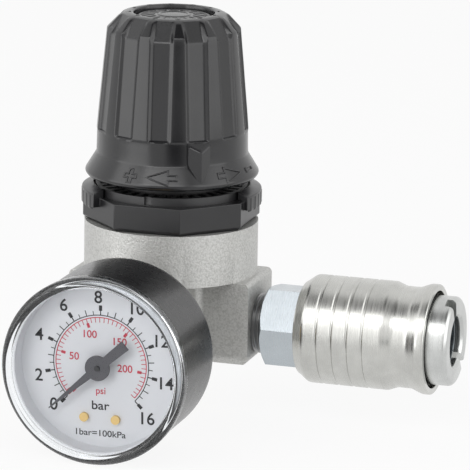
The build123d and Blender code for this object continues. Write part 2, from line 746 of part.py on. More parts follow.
# Brass socket: thread, hexagon, spigot through the case and the block that takes the tube
post_face = dial_y + dial_t
thread_end = mouth_y + side_port_depth - 1
block_bottom = -(tube_r + tube_t / 2 + block_skin)
with BuildPart() as gauge_socket:
    gauge_lathe((0, thread_end), (side_port_r - 0.6, thread_end),
                (side_port_r - thread_fit, thread_end - 0.6),
                (side_port_r - thread_fit, mouth_y - gauge_hex_gap), (0, mouth_y - gauge_hex_gap))
    with BuildSketch(dial_level(mouth_y - gauge_hex_gap)):
        RegularPolygon(gauge_hex / 2, 6, major_radius=False, rotation=30)
    extrude(amount=mouth_y - gauge_hex_gap - gauge_back)
    gauge_lathe((0, gauge_back), (spigot_r - thread_fit, gauge_back),
                (spigot_r - thread_fit, socket_block_front), (0, socket_block_front))
    with BuildSketch(dial_level(gauge_back - case_wall)):
        with Locations((0, (block_top + block_bottom) / 2)):
            Rectangle(block_w, block_top - block_bottom)
    extrude(amount=gauge_back - case_wall - socket_block_front)
    # post for the dial screws
    with BuildSketch(dial_level(socket_block_front)):
        with Locations((0, -screw_drop)):
            Rectangle(2 * screw_spread + 3.2, 3.0)
    extrude(amount=socket_block_front - post_face)
    with BuildSketch(dial_level(post_face)):
        with Locations((-screw_spread, -screw_drop), (screw_spread, -screw_drop)):
            Circle(dial_screw_shank_r + thread_fit)
    extrude(amount=-dial_screw_length, mode=Mode.SUBTRACT)
    # bore, cross drilling and the seat of the tube
    with BuildSketch(dial_level(thread_end)):
        Circle(socket_bore_r)
    extrude(amount=thread_end - tube_y + socket_bore_r, mode=Mode.SUBTRACT)
    with BuildSketch(Plane(origin=(axis_x, tube_y, 0), z_dir=(0, 0, -1))):
        Circle(socket_bore_r)
    extrude(amount=tube_r + 0.3, mode=Mode.SUBTRACT)
    with BuildSketch(Plane(origin=(axis_x, tube_y, -tube_r + 0.5), z_dir=(1, 0, 0))):
        Circle(tube_t / 2 - tube_wall)
    extrude(amount=block_w / 2 - 1.2, mode=Mode.SUBTRACT)
    with BuildSketch(lying) as seat:
        with Locations((tube_r, tube_y)):
            RectangleRounded(tube_t + thread_fit, tube_w + thread_fit, tube_t / 2 - 0.05)
    revolve(seat.sketch.rotate(gauge_axis, -tube_start), axis=gauge_axis, revolution_arc=-20,
            mode=Mode.SUBTRACT)
gauge_socket.part.label = "gauge_socket"
export_step(gauge_socket.part, "parts/gauge_socket.step")

with BuildPart() as dial_screws:
    with BuildSketch(dial_level(dial_y)):
        with Locations((-screw_spread, -screw_drop), (screw_spread, -screw_drop)):
            Circle(dial_screw_r)
    extrude(amount=dial_screw_head)
    with BuildSketch(dial_level(dial_y)):
        with Locations((-screw_spread, -screw_drop), (screw_spread, -screw_drop)):
            Circle(dial_screw_shank_r)
    extrude(amount=dial_screw_length - dial_t - 0.3, dir=(0, 1, 0))
dial_screws.part.label = "dial_screws"
export_step(dial_screws.part, "parts/dial_screws.step")

# The pointer rests on its stop, a little past the first tick
zero_angle = 222.0
with BuildPart() as gauge_pointer:
    with BuildSketch(dial_level(pointer_y)):
        with Locations(Location((0, 0, 0), (0, 0, zero_angle))):
            Polygon((pointer_reach, 0.12), (pointer_reach, -0.12), (2.0, -0.85), (-2.0, -1.0),
                    (-pointer_tail, -1.2), (-pointer_tail, 1.2), (-2.0, 1.0), (2.0, 0.85),
                    align=None)
        Circle(pointer_hub_r)
        Circle(arbor_r, mode=Mode.SUBTRACT)
    extrude(amount=pointer_t)
gauge_pointer.part.label = "gauge_pointer"
export_step(gauge_pointer.part, "parts/gauge_pointer.step")

# Movement: pinion on the arbor, toothed sector, frame of two plates


def gear_tooth(radius):
    """A trapezoid tooth standing on a pitch circle, thinner than half the pitch."""
    root = radius - 0.95 * gear_module - 0.2
    tip = radius + 0.85 * gear_module
    Polygon((root, -0.72 * gear_module), (tip, -0.30 * gear_module), (tip, 0.30 * gear_module),
            (root, 0.72 * gear_module), align=None)


pinion_r = gear_module * pinion_teeth / 2
sector_r = gear_module * sector_teeth / 2
gear_centre = pinion_r + sector_r + gear_back
gear_y = socket_block_front - frame_t - 1.2
front_plate_y = socket_block_front - frame_t - frame_gap
movement = Plane(origin=(axis_x, 0, 0), x_dir=(1, 0, 0), z_dir=(0, -1, 0))
pivot = Vector(gear_centre, 0).rotate(Axis.Z, sector_pivot_angle)
front_end_y = pointer_y - pointer_t - 0.3

with BuildPart() as pointer_arbor:
    gauge_lathe((0, socket_block_front - 0.1), (arbor_r, socket_block_front - 0.1),
                (arbor_r, front_end_y), (0, front_end_y))
    with BuildSketch(dial_level(gear_y)):
        Circle(pinion_r - 0.9 * gear_module)
        with PolarLocations(0, pinion_teeth):
            gear_tooth(pinion_r)
    extrude(amount=gear_t)
pointer_arbor.part.label = "pointer_arbor"
export_step(pointer_arbor.part, "parts/pointer_arbor.step")

# The teeth start a few past the pinion and cover the whole travel
first_tooth = sector_pivot_angle - 180 + sector_lead
tooth_step = 360 / sector_teeth
tooth_number = int(sector_arc / tooth_step)
with BuildPart() as sector_gear:
    with BuildSketch(dial_level(gear_y)):
        with Locations((pivot.X, pivot.Y)):
            Circle(sector_r - 0.9 * gear_module)
        with BuildLine():
            reach = 2 * gear_centre
            side_a = pivot + Vector(reach, 0).rotate(Axis.Z, first_tooth)
            side_b = pivot + Vector(reach, 0).rotate(Axis.Z, first_tooth - sector_arc)
            Polyline((pivot.X, pivot.Y), (side_a.X, side_a.Y), (side_b.X, side_b.Y), close=True)
        make_face(mode=Mode.INTERSECT)
        with Locations((pivot.X, pivot.Y)):
            with PolarLocations(0, tooth_number, start_angle=first_tooth - tooth_step / 2,
                                angular_range=-tooth_number * tooth_step):
                gear_tooth(sector_r)
            Circle(sector_hub_r)
        # tail that the tube pulls on
        with Locations((pivot.X, pivot.Y + tail_arm / 2)):
            Rectangle(1.6, tail_arm)
        with Locations((pivot.X, pivot.Y + tail_arm)):
            Circle(1.1)
            Circle(link_pin_r + run_fit, mode=Mode.SUBTRACT)
    extrude(amount=gear_t)
    with BuildSketch(dial_level(socket_block_front - 0.1)):
        with Locations((pivot.X, pivot.Y)):
            Circle(arbor_r)
    extrude(amount=2 * frame_t + frame_gap)
sector_gear.part.label = "sector_gear"
export_step(sector_gear.part, "parts/sector_gear.step")

tube_tip = Vector(tube_r, 0).rotate(Axis.Z, tube_end - 2)
link_eye = Vector(pivot.X, pivot.Y + tail_arm)
link_span = (tube_tip - link_eye).length
link_angle = Vector(1, 0, 0).get_signed_angle(tube_tip - link_eye, Vector(0, 0, 1))
link_middle = (tube_tip + link_eye) / 2
with BuildPart() as tube_link:
    with BuildSketch(dial_level(gear_y - gear_t - run_fit)):
        with Locations(Location((link_middle.X, link_middle.Y, 0), (0, 0, link_angle))):
            SlotCenterToCenter(link_span, 1.8)
        with Locations((tube_tip.X, tube_tip.Y)):
            Circle(link_pin_r + run_fit, mode=Mode.SUBTRACT)
    extrude(amount=0.5)
    with BuildSketch(dial_level(gear_y - gear_t - run_fit)):
        with Locations((link_eye.X, link_eye.Y)):
            Circle(link_pin_r)
    extrude(amount=-gear_t - run_fit)
tube_link.part.label = "tube_link"
export_step(tube_link.part, "parts/tube_link.step")

pillar_a = Vector(pillar_lead, 0).rotate(Axis.Z, sector_pivot_angle - 180)
pillar_b = Vector(gear_centre + pillar_tail, 0).rotate(Axis.Z, sector_pivot_angle)
plate_middle = (pillar_a + pillar_b) / 2
with BuildPart() as movement_frame:
    for y in (socket_block_front, front_plate_y):
        with BuildSketch(dial_level(y)):
            with Locations(Location((plate_middle.X, plate_middle.Y, 0), (0, 0, sector_pivot_angle))):
                SlotCenterToCenter((pillar_a - pillar_b).length, frame_w)
            with Locations((0, 0), (pivot.X, pivot.Y)):
                Circle(arbor_r + run_fit, mode=Mode.SUBTRACT)
        extrude(amount=frame_t)
    with BuildSketch(dial_level(socket_block_front - frame_t)):
        with Locations((pillar_a.X, pillar_a.Y), (pillar_b.X, pillar_b.Y)):
            Circle(pillar_r)
    extrude(amount=frame_gap)
movement_frame.part.label = "movement_frame"
export_step(movement_frame.part, "parts/movement_frame.step")

# Coupler

hex_front = thread_neck + hex_length
socket_r = main_port_r - thread_fit
with BuildPart() as coupler_body:
    with BuildSketch(station(thread_neck)):
        RegularPolygon(hex_af / 2, 6, major_radius=False, rotation=hex_turn - 90)
    extrude(amount=hex_length)
    corner_r = hex_af / 3 ** 0.5
    coupler_lathe((thread_neck, 0), (thread_neck, hex_af / 2 + 0.1), (thread_neck + 0.75, corner_r),
                  (hex_front - 0.75, corner_r), (hex_front, hex_af / 2 + 0.1), (hex_front, 0),
                  mode=Mode.INTERSECT)
    coupler_lathe((-coupler_thread, 0), (-coupler_thread, socket_r - 0.5),
                  (-coupler_thread + 0.5, socket_r), (0, socket_r), (0, thread_neck_r),
                  (thread_neck, thread_neck_r), (thread_neck, 0))
    spigot_end = hex_front + barrel_thread
    coupler_lathe((hex_front, 0), (hex_front, barrel_thread_r - thread_fit),
                  (spigot_end, barrel_thread_r - thread_fit), (spigot_end, 0))
    coupler_lathe((-coupler_thread - 1, 0), (-coupler_thread - 1, coupler_way_r),
                  (coupler_floor, coupler_way_r), (coupler_floor, valve_chamber_r),
                  (spigot_end + 1, valve_chamber_r), (spigot_end + 1, 0), mode=Mode.SUBTRACT)
coupler_body.part.label = "coupler_body"
export_step(coupler_body.part, "parts/coupler_body.step")

nose_rear = coupler_length - nose_length
barrel_end = coupler_length - nose_lip
mouth_start = coupler_length - mouth_length
sleeve_rear = hex_front - sleeve_lap
sleeve_front = coupler_length - nose_show
sleeve_rim = sleeve_front - sleeve_rim_width
sleeve_flare = sleeve_rim - sleeve_flare_length
sleeve_step = sleeve_flare - sleeve_waist - sleeve_cone
sleeve_land_front = nose_rear - ring_setback
sleeve_land_rear = sleeve_land_front - sleeve_land
ball_station = sleeve_land_front - ball_setback
seal_rear = coupler_length - seal_setback
seal_front = seal_rear + seal_length
ring_rear = sleeve_land_front + run_fit
ring_front = ring_rear + stop_ring_t
with BuildPart() as ball_holes:
    with Locations((port_mouth_x + ball_station, 0, 0)):
        for index in range(ball_count):
            Cylinder(ball_r + run_fit, barrel_r + 1, rotation=(index * 360 / ball_count, 0, 0),
                     align=(Align.CENTER, Align.CENTER, Align.MIN))

with BuildPart() as coupler_barrel:
    coupler_lathe((hex_front, barrel_thread_r), (hex_front, spring_flange_r),
                  (hex_front + spring_flange_t, spring_flange_r), (hex_front + spring_flange_t, barrel_r),
                  (ring_rear, barrel_r), (ring_rear, stop_groove_r), (ring_front, stop_groove_r),
                  (ring_front, barrel_r), (nose_rear, barrel_r), (nose_rear, nose_thread_r - thread_fit),
                  (barrel_end, nose_thread_r - thread_fit), (barrel_end, mouth_r),
                  (mouth_start, mouth_r), (mouth_start, cage_r), (seal_front, cage_r),
                  (seal_front, seal_groove_r), (seal_rear, seal_groove_r), (seal_rear, valve_chamber_r),
                  (spigot_end, valve_chamber_r), (spigot_end, barrel_thread_r))
    # holes for the locking balls
    add(ball_holes.part, mode=Mode.SUBTRACT)
coupler_barrel.part.label = "coupler_barrel"
export_step(coupler_barrel.part, "parts/coupler_barrel.step")

with BuildPart() as key_slots:
    with BuildSketch(station(barrel_end)):
        for angle in (45, 135, 225, 315):
            with PolarLocations(slot_r / 2, 1, start_angle=angle):
                Rectangle(slot_r, slot_w)
    extrude(amount=slot_depth + 1)

with BuildPart() as coupler_nose:
    coupler_lathe((nose_rear, nose_thread_r), (nose_rear, nose_r - 0.4), (nose_rear + 0.4, nose_r),
                  (coupler_length - 0.9, nose_r), (coupler_length - 0.25, nose_r - 0.25),
                  (coupler_length, nose_r - 0.9), (coupler_length, mouth_r + 0.9),
                  (coupler_length - 0.6, mouth_r + 0.3), (barrel_end, mouth_r + 0.3),
                  (barrel_end, nose_thread_r))
    add(key_slots.part, mode=Mode.SUBTRACT)
coupler_nose.part.label = "coupler_nose"
export_step(coupler_nose.part, "parts/coupler_nose.step")

sleeve_land_r = barrel_r + run_fit
chamfer_end = sleeve_rear + sleeve_chamfer
groove_first = sleeve_rear + groove_lead
groove_pitch = (sleeve_step - groove_tail - groove_first) / (groove_count - 1)
with BuildPart() as coupler_sleeve:
    rings = []
    for index in range(groove_count):
        middle = groove_first + index * groove_pitch
        rings += [(middle - groove_w / 2, sleeve_r), (middle, sleeve_r - groove_depth),
                  (middle + groove_w / 2, sleeve_r)]
    coupler_lathe((sleeve_rear, sleeve_bore_r), (sleeve_rear, sleeve_rear_r), (chamfer_end, sleeve_r),
                  *rings, (sleeve_step, sleeve_r), (sleeve_step + sleeve_cone, sleeve_neck_r),
                  (sleeve_flare, sleeve_neck_r), (sleeve_rim, sleeve_rim_r),
                  (sleeve_front - 0.3, sleeve_rim_r), (sleeve_front, sleeve_rim_r - 0.3),
                  (sleeve_front, sleeve_mouth_r), (sleeve_land_front, sleeve_mouth_r),
                  (sleeve_land_front, sleeve_land_r), (sleeve_land_rear, sleeve_land_r),
                  (sleeve_land_rear, sleeve_bore_r))
coupler_sleeve.part.label = "coupler_sleeve"
export_step(coupler_sleeve.part, "parts/coupler_sleeve.step")

spring_start = hex_front + spring_flange_t
with BuildPart() as sleeve_spring:
    coil((port_mouth_x + spring_start, 0, 0), (1, 0, 0), sleeve_land_rear - spring_start,
         sleeve_coil_r, sleeve_wire, sleeve_turns)
sleeve_spring.part.label = "sleeve_spring"
export_step(sleeve_spring.part, "parts/sleeve_spring.step")

with BuildPart() as sleeve_stop_ring:
    with BuildSketch(station(ring_rear)):
        Circle(stop_ring_r)
        Circle(stop_groove_r, mode=Mode.SUBTRACT)
        with Locations((0, stop_ring_r)):
            Rectangle(2.4, 5.0, mode=Mode.SUBTRACT)
    extrude(amount=stop_ring_t)
sleeve_stop_ring.part.label = "sleeve_stop_ring"
export_step(sleeve_stop_ring.part, "parts/sleeve_stop_ring.step")

with BuildPart() as locking_balls:
    for index in range(ball_count):
        centre = Vector(port_mouth_x + ball_station, 0, barrel_r - ball_r)
        with Locations(centre.rotate(coupler_axis, index * 360 / ball_count)):
            Sphere(ball_r)
locking_balls.part.label = "locking_balls"
export_step(locking_balls.part, "parts/locking_balls.step")

with BuildPart() as coupler_seal:
    coupler_lathe((seal_rear, seal_bore_r), (seal_rear, seal_groove_r), (seal_front, seal_groove_r),
                  (seal_front, seal_bore_r + 0.5), (seal_front - 0.5, seal_bore_r))
coupler_seal.part.label = "coupler_seal"
export_step(coupler_seal.part, "parts/coupler_seal.step")

# Check valve that closes against the seal
head_rear = seal_rear - valve_head_t
with BuildPart() as coupler_valve:
    coupler_lathe((seal_rear, 0), (seal_rear, valve_head_r), (head_rear, valve_head_r),
                  (head_rear, valve_tube_r), (head_rear - valve_tube_length, valve_tube_r),
                  (head_rear - valve_tube_length, valve_tube_bore_r), (head_rear, valve_tube_bore_r),
                  (head_rear, 0))
    # three fins guide the head in the chamber
    with BuildSketch(station(head_rear - fin_length)):
        with PolarLocations(valve_chamber_r - 0.5, 3):
            Rectangle(1.6, fin_w)
        Circle(coupler_coil_r + coupler_wire / 2 + 0.15, mode=Mode.SUBTRACT)
        Circle(valve_chamber_r - run_fit, mode=Mode.INTERSECT)
    extrude(amount=fin_length + valve_head_t)
coupler_valve.part.label = "coupler_valve"
export_step(coupler_valve.part, "parts/coupler_valve.step")

with BuildPart() as coupler_valve_spring:
    coil((port_mouth_x + coupler_floor, 0, 0), (1, 0, 0), head_rear - coupler_floor,
         coupler_coil_r, coupler_wire, coupler_turns)
coupler_valve_spring.part.label = "coupler_valve_spring"
export_step(coupler_valve_spring.part, "parts/coupler_valve_spring.step")
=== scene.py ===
import bpy
import bmesh
import numpy as np
from math import cos, sin, pi, radians
from mathutils import Matrix, Vector


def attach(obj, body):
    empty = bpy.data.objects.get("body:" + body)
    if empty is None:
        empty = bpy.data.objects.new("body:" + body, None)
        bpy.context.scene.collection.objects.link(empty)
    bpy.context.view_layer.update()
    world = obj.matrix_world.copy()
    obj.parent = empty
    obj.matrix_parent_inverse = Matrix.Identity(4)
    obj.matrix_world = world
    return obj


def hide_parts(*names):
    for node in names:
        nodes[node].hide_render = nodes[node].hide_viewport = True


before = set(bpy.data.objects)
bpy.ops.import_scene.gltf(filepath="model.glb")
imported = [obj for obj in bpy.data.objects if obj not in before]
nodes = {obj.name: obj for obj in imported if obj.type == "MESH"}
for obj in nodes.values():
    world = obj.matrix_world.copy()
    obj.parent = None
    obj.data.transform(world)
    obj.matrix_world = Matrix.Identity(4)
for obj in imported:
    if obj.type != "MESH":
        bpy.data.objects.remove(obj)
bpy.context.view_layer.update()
mm = 0.001
axisX = 21.2                                    # regulator axis, from the inlet mouth
mouthX = 42.4                                   # outlet mouth
print("frame loaded:", len(nodes), "nodes")


def linked(name, data):
    # a new object in the scene that carries this mesh, light or camera
    made = bpy.data.objects.new(name, data)
    bpy.context.scene.collection.objects.link(made)
    return made


def putPoints(mesh, points):
    # points in mm go into the mesh in metres
    mesh.vertices.foreach_set("co", (points * mm).reshape(-1).astype(np.float32))


def gridPiece(name, grid, closeRows=False, closeColumns=True, sharp=35):
    # grid[i, j] is a point in mm; each quad joins i, i + 1 and j, j + 1, wrapping where closed
    index = np.arange(grid.shape[0] * grid.shape[1]).reshape(grid.shape[:2])
    corners = index.size
    if closeRows:
        index = np.concatenate([index, index[:1]])
    if closeColumns:
        index = np.concatenate([index, index[:, :1]], 1)
    quads = np.stack([index[:-1, :-1], index[1:, :-1], index[1:, 1:], index[:-1, 1:]], -1)
    quads = quads.reshape(-1, 4)
    mesh = bpy.data.meshes.new(name)
    mesh.vertices.add(corners)
    putPoints(mesh, grid)
    mesh.loops.add(quads.size)
    mesh.loops.foreach_set("vertex_index", quads.reshape(-1).astype(np.int32))
    mesh.polygons.add(len(quads))
    mesh.polygons.foreach_set("loop_start", np.arange(0, quads.size, 4, dtype=np.int32))
    mesh.update(calc_edges=True)
    mesh.validate()
    finishMesh(mesh, sharp)
    return linked(name, mesh)


def finishMesh(mesh, sharp):
    # merges doubles, closes the poles, turns faces outwards and keeps edges over the sharp angle
    work = bmesh.new()
    work.from_mesh(mesh)
    bmesh.ops.remove_doubles(work, verts=work.verts, dist=2e-7)
    bmesh.ops.dissolve_degenerate(work, dist=1e-8, edges=work.edges)
    bmesh.ops.recalc_face_normals(work, faces=work.faces)
    work.to_mesh(mesh)
    work.free()
    mesh.shade_smooth()
    mesh.set_sharp_from_angle(angle=radians(sharp))


def softCorners(corners, step):
    # corners are (station, radius, rounding); each is cut by a quadratic arc that starts at most 0.45
    # of the way along its sides, and no step of the result is longer than the one given
    pts = np.array([c[:2] for c in corners], float)
    out = [pts[0]]
    for k in range(1, len(pts) - 1):
        r = corners[k][2] if len(corners[k]) > 2 else 0.12
        a, b, c = pts[k - 1], pts[k], pts[k + 1]
        la, lc = np.linalg.norm(a - b), np.linalg.norm(c - b)
        p = b + (a - b) / la * min(r, la * 0.45)
        q = b + (c - b) / lc * min(r, lc * 0.45)
        t = np.linspace(0, 1, 5)[:, None]
        out.extend((1 - t) ** 2 * p + 2 * t * (1 - t) * b + t ** 2 * q)
    out.append(pts[-1])
    fine = [out[0]]
    for p, q in zip(out[:-1], out[1:]):
        n = max(1, int(np.ceil(np.linalg.norm(q - p) / step)))
        fine.extend(p + (q - p) * k / n for k in range(1, n + 1))
    return np.array(fine)


def turned(name, way, profile, count=180, lift=None, closed=False, sharp=35):
    # point(s, a) = station s along the way and radius r(s) + lift(s, r) turned by the angle a; round the
    # gauge's axis the angle starts at +X, round the coupler's it goes from +Z towards the reader
    a = np.linspace(0, 2 * pi, count, endpoint=False)
    s = np.repeat(profile[:, :1], count, 1)
    r = np.repeat(profile[:, 1:2], count, 1)
    if lift is not None:
        r = r + lift(s, r)
    c, w = np.cos(a)[None, :], np.sin(a)[None, :]
    if way == "gauge":
        grid = np.stack([axisX + r * c, s, r * w], -1)
    else:
        grid = np.stack([mouthX + s, -r * w, r * c], -1)
    return gridPiece(name, grid, closeRows=closed, sharp=sharp)


def smoothStep(x, low, high):
    # 0 up to low, 1 from high on, and a smooth cubic rise between
    t = np.clip((x - low) / (high - low), 0, 1)
    return t * t * (3 - 2 * t)


def band(x, low, high, edge):
    # 1 between low and high, 0 outside, with soft sides
    return smoothStep(x, low - edge, low) * (1 - smoothStep(x, high, high + edge))


def wrap(a):
    # the same angle between minus and plus half a turn
    return (a + pi) % (2 * pi) - pi


bevels = {"panel_nut": 0.28, "bonnet": 0.2, "body_casting": 0.35, "gauge_pointer": 0.08, "coupler_body": 0.15}


def carried(node, sharp=30):
    # a merged copy of a CAD node with its own narrow bevel on its edges
    name = node + "Skin"
    mesh = nodes[node].data.copy()
    piece = linked(name, mesh)
    mesh.materials.clear()
    work = bmesh.new()
    work.from_mesh(mesh)
    bmesh.ops.remove_doubles(work, verts=work.verts, dist=2e-6)
    bmesh.ops.dissolve_limit(work, angle_limit=radians(0.6), verts=work.verts, edges=work.edges)
    work.to_mesh(mesh)
    work.free()
    mesh.shade_smooth()
    mesh.set_sharp_from_angle(angle=radians(sharp))
    cut = piece.modifiers.new("edges", "BEVEL")
    cut.width = bevels[node] * mm
    cut.segments = 2
    cut.limit_method = "ANGLE"
    cut.angle_limit = radians(sharp)
    cut.harden_normals = False
    cut.use_clamp_overlap = True
    return piece


def place(piece, body, material, slotName, *replaced):
    # gives a piece its finish and its body, and hides the CAD nodes that it stands for; slotName is not used
    piece.data.materials.clear()
    piece.data.materials.append(material)
    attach(piece, body)
    if replaced:
        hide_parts(*replaced)
    return piece


def dress(node, material):
    # a CAD node that keeps its own mesh takes a finish
    mesh = nodes[node].data
    mesh.materials.clear()
    mesh.materials.append(material)


def startMaterial(name, colour, rough, metal=0.0):
    # a material with its node tree and its main shader
    mat = bpy.data.materials.new(name)
    mat.use_nodes = True
    tree = mat.node_tree
    shader = tree.nodes["Principled BSDF"]
    shader.inputs["Base Color"].default_value = (*colour, 1)
    shader.inputs["Roughness"].default_value = rough
    shader.inputs["Metallic"].default_value = metal
    return mat, tree, shader


def nodeIn(tree, kind, **values):
    # a new node; each value goes to the socket of that name, or else to the setting of that name
    made = tree.nodes.new(kind)
    for key, value in values.items():
        socket = made.inputs.get(key)
        if socket is not None:
            socket.default_value = value
        else:
            setattr(made, key, value)
    return made


def objectCoords(tree, scale=(1, 1, 1)):
    # the object's own coordinates in metres, stretched by the scale
    coords = tree.nodes.new("ShaderNodeTexCoord")
    mapping = tree.nodes.new("ShaderNodeMapping")
    mapping.inputs["Scale"].default_value = scale
    tree.links.new(coords.outputs["Object"], mapping.inputs["Vector"])
    return mapping.outputs["Vector"]


def noiseOn(tree, vector, scale, detail, rough=0.55):
    # a noise between 0 and 1 over these coordinates
    noise = nodeIn(tree, "ShaderNodeTexNoise", Scale=scale, Detail=detail, Roughness=rough)
    tree.links.new(vector, noise.inputs["Vector"])
    return noise.outputs["Fac"]


def ramp(tree, factor, low, high):
    # low and high are (position, colour); the colour runs from one to the other
    made = tree.nodes.new("ShaderNodeValToRGB")
    for element, (position, colour) in zip(made.color_ramp.elements, (low, high)):
        element.position = position
        element.color = (*colour, 1)
    tree.links.new(factor, made.inputs["Fac"])
    return made.outputs["Color"]


def mapRange(tree, factor, low, high, toLow, toHigh):
    # the factor's span from low to high becomes toLow to toHigh, and stays within it
    made = nodeIn(tree, "ShaderNodeMapRange")
    for key, value in (("From Min", low), ("From Max", high), ("To Min", toLow), ("To Max", toHigh)):
        made.inputs[key].default_value = value
    tree.links.new(factor, made.inputs["Value"])
    return made.outputs["Result"]


def bump(tree, shader, height, strength, distance, previous=None):
    # height in the shader's normal, on top of an earlier bump if there is one
    made = nodeIn(tree, "ShaderNodeBump", Strength=strength, Distance=distance)
    tree.links.new(height, made.inputs["Height"])
    if previous is not None:
        tree.links.new(previous, made.inputs["Normal"])
    tree.links.new(made.outputs["Normal"], shader.inputs["Normal"])
    return made.outputs["Normal"]


castFinish = {"light": (0.57, 0.57, 0.555), "dark": (0.42, 0.42, 0.405), "metal": 0.75,
              "rough": (0.42, 0.60), "grain": 3200.0, "grainRelief": 0.00006, "pit": 2300.0,
              "pitRelief": 0.00016}


def castMetal():
    # sand-cast alloy: coarse and fine grain in colour, gloss and height
    low, high = castFinish["rough"]
    mat, tree, shader = startMaterial("castMetal", castFinish["light"], low, castFinish["metal"])
    vector = objectCoords(tree)
    grain = noiseOn(tree, vector, castFinish["grain"], 3.0, 0.6)
    pits = noiseOn(tree, vector, castFinish["pit"], 5.0, 0.6)
    colour = ramp(tree, pits, (0.34, castFinish["dark"]), (0.58, castFinish["light"]))
    tree.links.new(colour, shader.inputs["Base Color"])
    tree.links.new(mapRange(tree, grain, 0.3, 0.7, low, high), shader.inputs["Roughness"])
    first = bump(tree, shader, pits, 0.55, castFinish["pitRelief"])
    bump(tree, shader, grain, 0.4, castFinish["grainRelief"], first)
    return mat


plasticFinish = {"grain": 2200.0, "cloud": 90.0, "lighter": 1.25, "relief": 0.00004}


def satinPlastic(name, colour, rough, strength=0.12, index=1.6):
    # moulded nylon: a faint fine grain and slow changes of gloss
    mat, tree, shader = startMaterial(name, colour, rough)
    shader.inputs["IOR"].default_value = index
    vector = objectCoords(tree)
    fine = noiseOn(tree, vector, plasticFinish["grain"], 2.0)
    slow = noiseOn(tree, vector, plasticFinish["cloud"], 3.0)
    tree.links.new(mapRange(tree, slow, 0.3, 0.7, rough - 0.04, rough + 0.05),
                   shader.inputs["Roughness"])
    lighter = tuple(c * plasticFinish["lighter"] for c in colour)
    tree.links.new(ramp(tree, slow, (0.35, colour), (0.7, lighter)), shader.inputs["Base Color"])
    bump(tree, shader, fine, strength, plasticFinish["relief"])
    return mat


metalFinish = {"across": 0.02, "cloud": 160.0, "relief": 0.00003}


def turnedMetal(name, colour, rough, along, grain=2600.0, strength=0.18, tint=0.9):
    # lathe marks: noise stretched round the axis, seen as fine rings along it
    mat, tree, shader = startMaterial(name, colour, rough, 1.0)
    scale = [1.0 if axis == along else metalFinish["across"] for axis in "xyz"]
    rings = noiseOn(tree, objectCoords(tree, scale), grain, 3.0, 0.7)
    cloud = noiseOn(tree, objectCoords(tree), metalFinish["cloud"], 4.0, 0.6)
    darker = tuple(c * tint for c in colour)
    tree.links.new(ramp(tree, cloud, (0.3, darker), (0.7, colour)), shader.inputs["Base Color"])
    tree.links.new(mapRange(tree, rings, 0.25, 0.75, rough * 0.75, rough * 1.35),
                   shader.inputs["Roughness"])
    bump(tree, shader, rings, strength, metalFinish["relief"])
    return mat


clearFinish = {"pane": (0.985, 0.99, 1.0), "paneIndex": 1.30, "rim": (0.93, 0.95, 0.97), "rimIndex": 1.49,
               "rough": 0.04}


def clearPane():
    # flat pane: mostly see-through, with a Fresnel gloss
    mat = bpy.data.materials.new("clearPane")
    mat.use_nodes = True
    tree = mat.node_tree
    tree.nodes.remove(tree.nodes["Principled BSDF"])
    seeThrough = nodeIn(tree, "ShaderNodeBsdfTransparent")
    seeThrough.inputs["Color"].default_value = (*clearFinish["pane"], 1)
    gloss = nodeIn(tree, "ShaderNodeBsdfGlossy", Roughness=clearFinish["rough"])
    edge = nodeIn(tree, "ShaderNodeFresnel", IOR=clearFinish["paneIndex"])
    blend = tree.nodes.new("ShaderNodeMixShader")
    tree.links.new(edge.outputs["Fac"], blend.inputs["Fac"])
    tree.links.new(seeThrough.outputs["BSDF"], blend.inputs[1])
    tree.links.new(gloss.outputs["BSDF"], blend.inputs[2])
    tree.links.new(blend.outputs["Shader"], tree.nodes["Material Output"].inputs["Surface"])
    return mat


def clearRim():
    # clear moulded plastic, which bends the light at its edges
    mat, tree, shader = startMaterial("clearRim", clearFinish["rim"], clearFinish["rough"])
    shader.inputs["Transmission Weight"].default_value = 1.0
    shader.inputs["IOR"].default_value = clearFinish["rimIndex"]
    return mat


paintFinish = {"coatRough": 0.08, "peel": 700.0, "strength": 0.04, "relief": 0.00005}


def painted(name, colour, rough, coat=0.0):
    # paint or print with a faint orange peel
    mat, tree, shader = startMaterial(name, colour, rough)
    shader.inputs["Coat Weight"].default_value = coat
    shader.inputs["Coat Roughness"].default_value = paintFinish["coatRough"]
    peel = noiseOn(tree, objectCoords(tree), paintFinish["peel"], 2.0)
    tree.links.new(mapRange(tree, peel, 0.3, 0.7, rough * 0.9, rough * 1.12),
                   shader.inputs["Roughness"])
    bump(tree, shader, peel, paintFinish["strength"], paintFinish["relief"])
    return mat


cast = castMetal()
knobPlastic = satinPlastic("knobPlastic", (0.009, 0.009, 0.010), 0.22, index=1.56)
nutPlastic = satinPlastic("nutPlastic", (0.011, 0.011, 0.012), 0.30, 0.2, 1.52)
neckPlastic = satinPlastic("neckPlastic", (0.012, 0.012, 0.013), 0.38)
caseEnamel = painted("caseEnamel", (0.010, 0.010, 0.011), 0.28, 0.1)
dialWhite = painted("dialWhite", (0.83, 0.84, 0.86), 0.55)
printBlack = painted("printBlack", (0.02, 0.02, 0.022), 0.6)
printRed = painted("printRed", (0.62, 0.055, 0.09), 0.6)
pointerPaint = painted("pointerPaint", (0.105, 0.105, 0.115), 0.5)
hubDark = painted("hubDark", (0.03, 0.03, 0.032), 0.5)
pane = clearPane()
rim = clearRim()
brass = turnedMetal("brass", (0.78, 0.56, 0.24), 0.30, "y")
brassUp = turnedMetal("brassUp", (0.76, 0.57, 0.27), 0.32, "z")
zinc = turnedMetal("zinc", (0.50, 0.54, 0.57), 0.24, "x", 2200.0, 0.4)
sleeveZinc = turnedMetal("sleeveZinc", (0.60, 0.60, 0.575), 0.27, "x", 2400.0, 0.5, tint=0.82)
noseSteel = turnedMetal("noseSteel", (0.62, 0.63, 0.62), 0.27, "x", 2600.0, 0.25, tint=0.8)
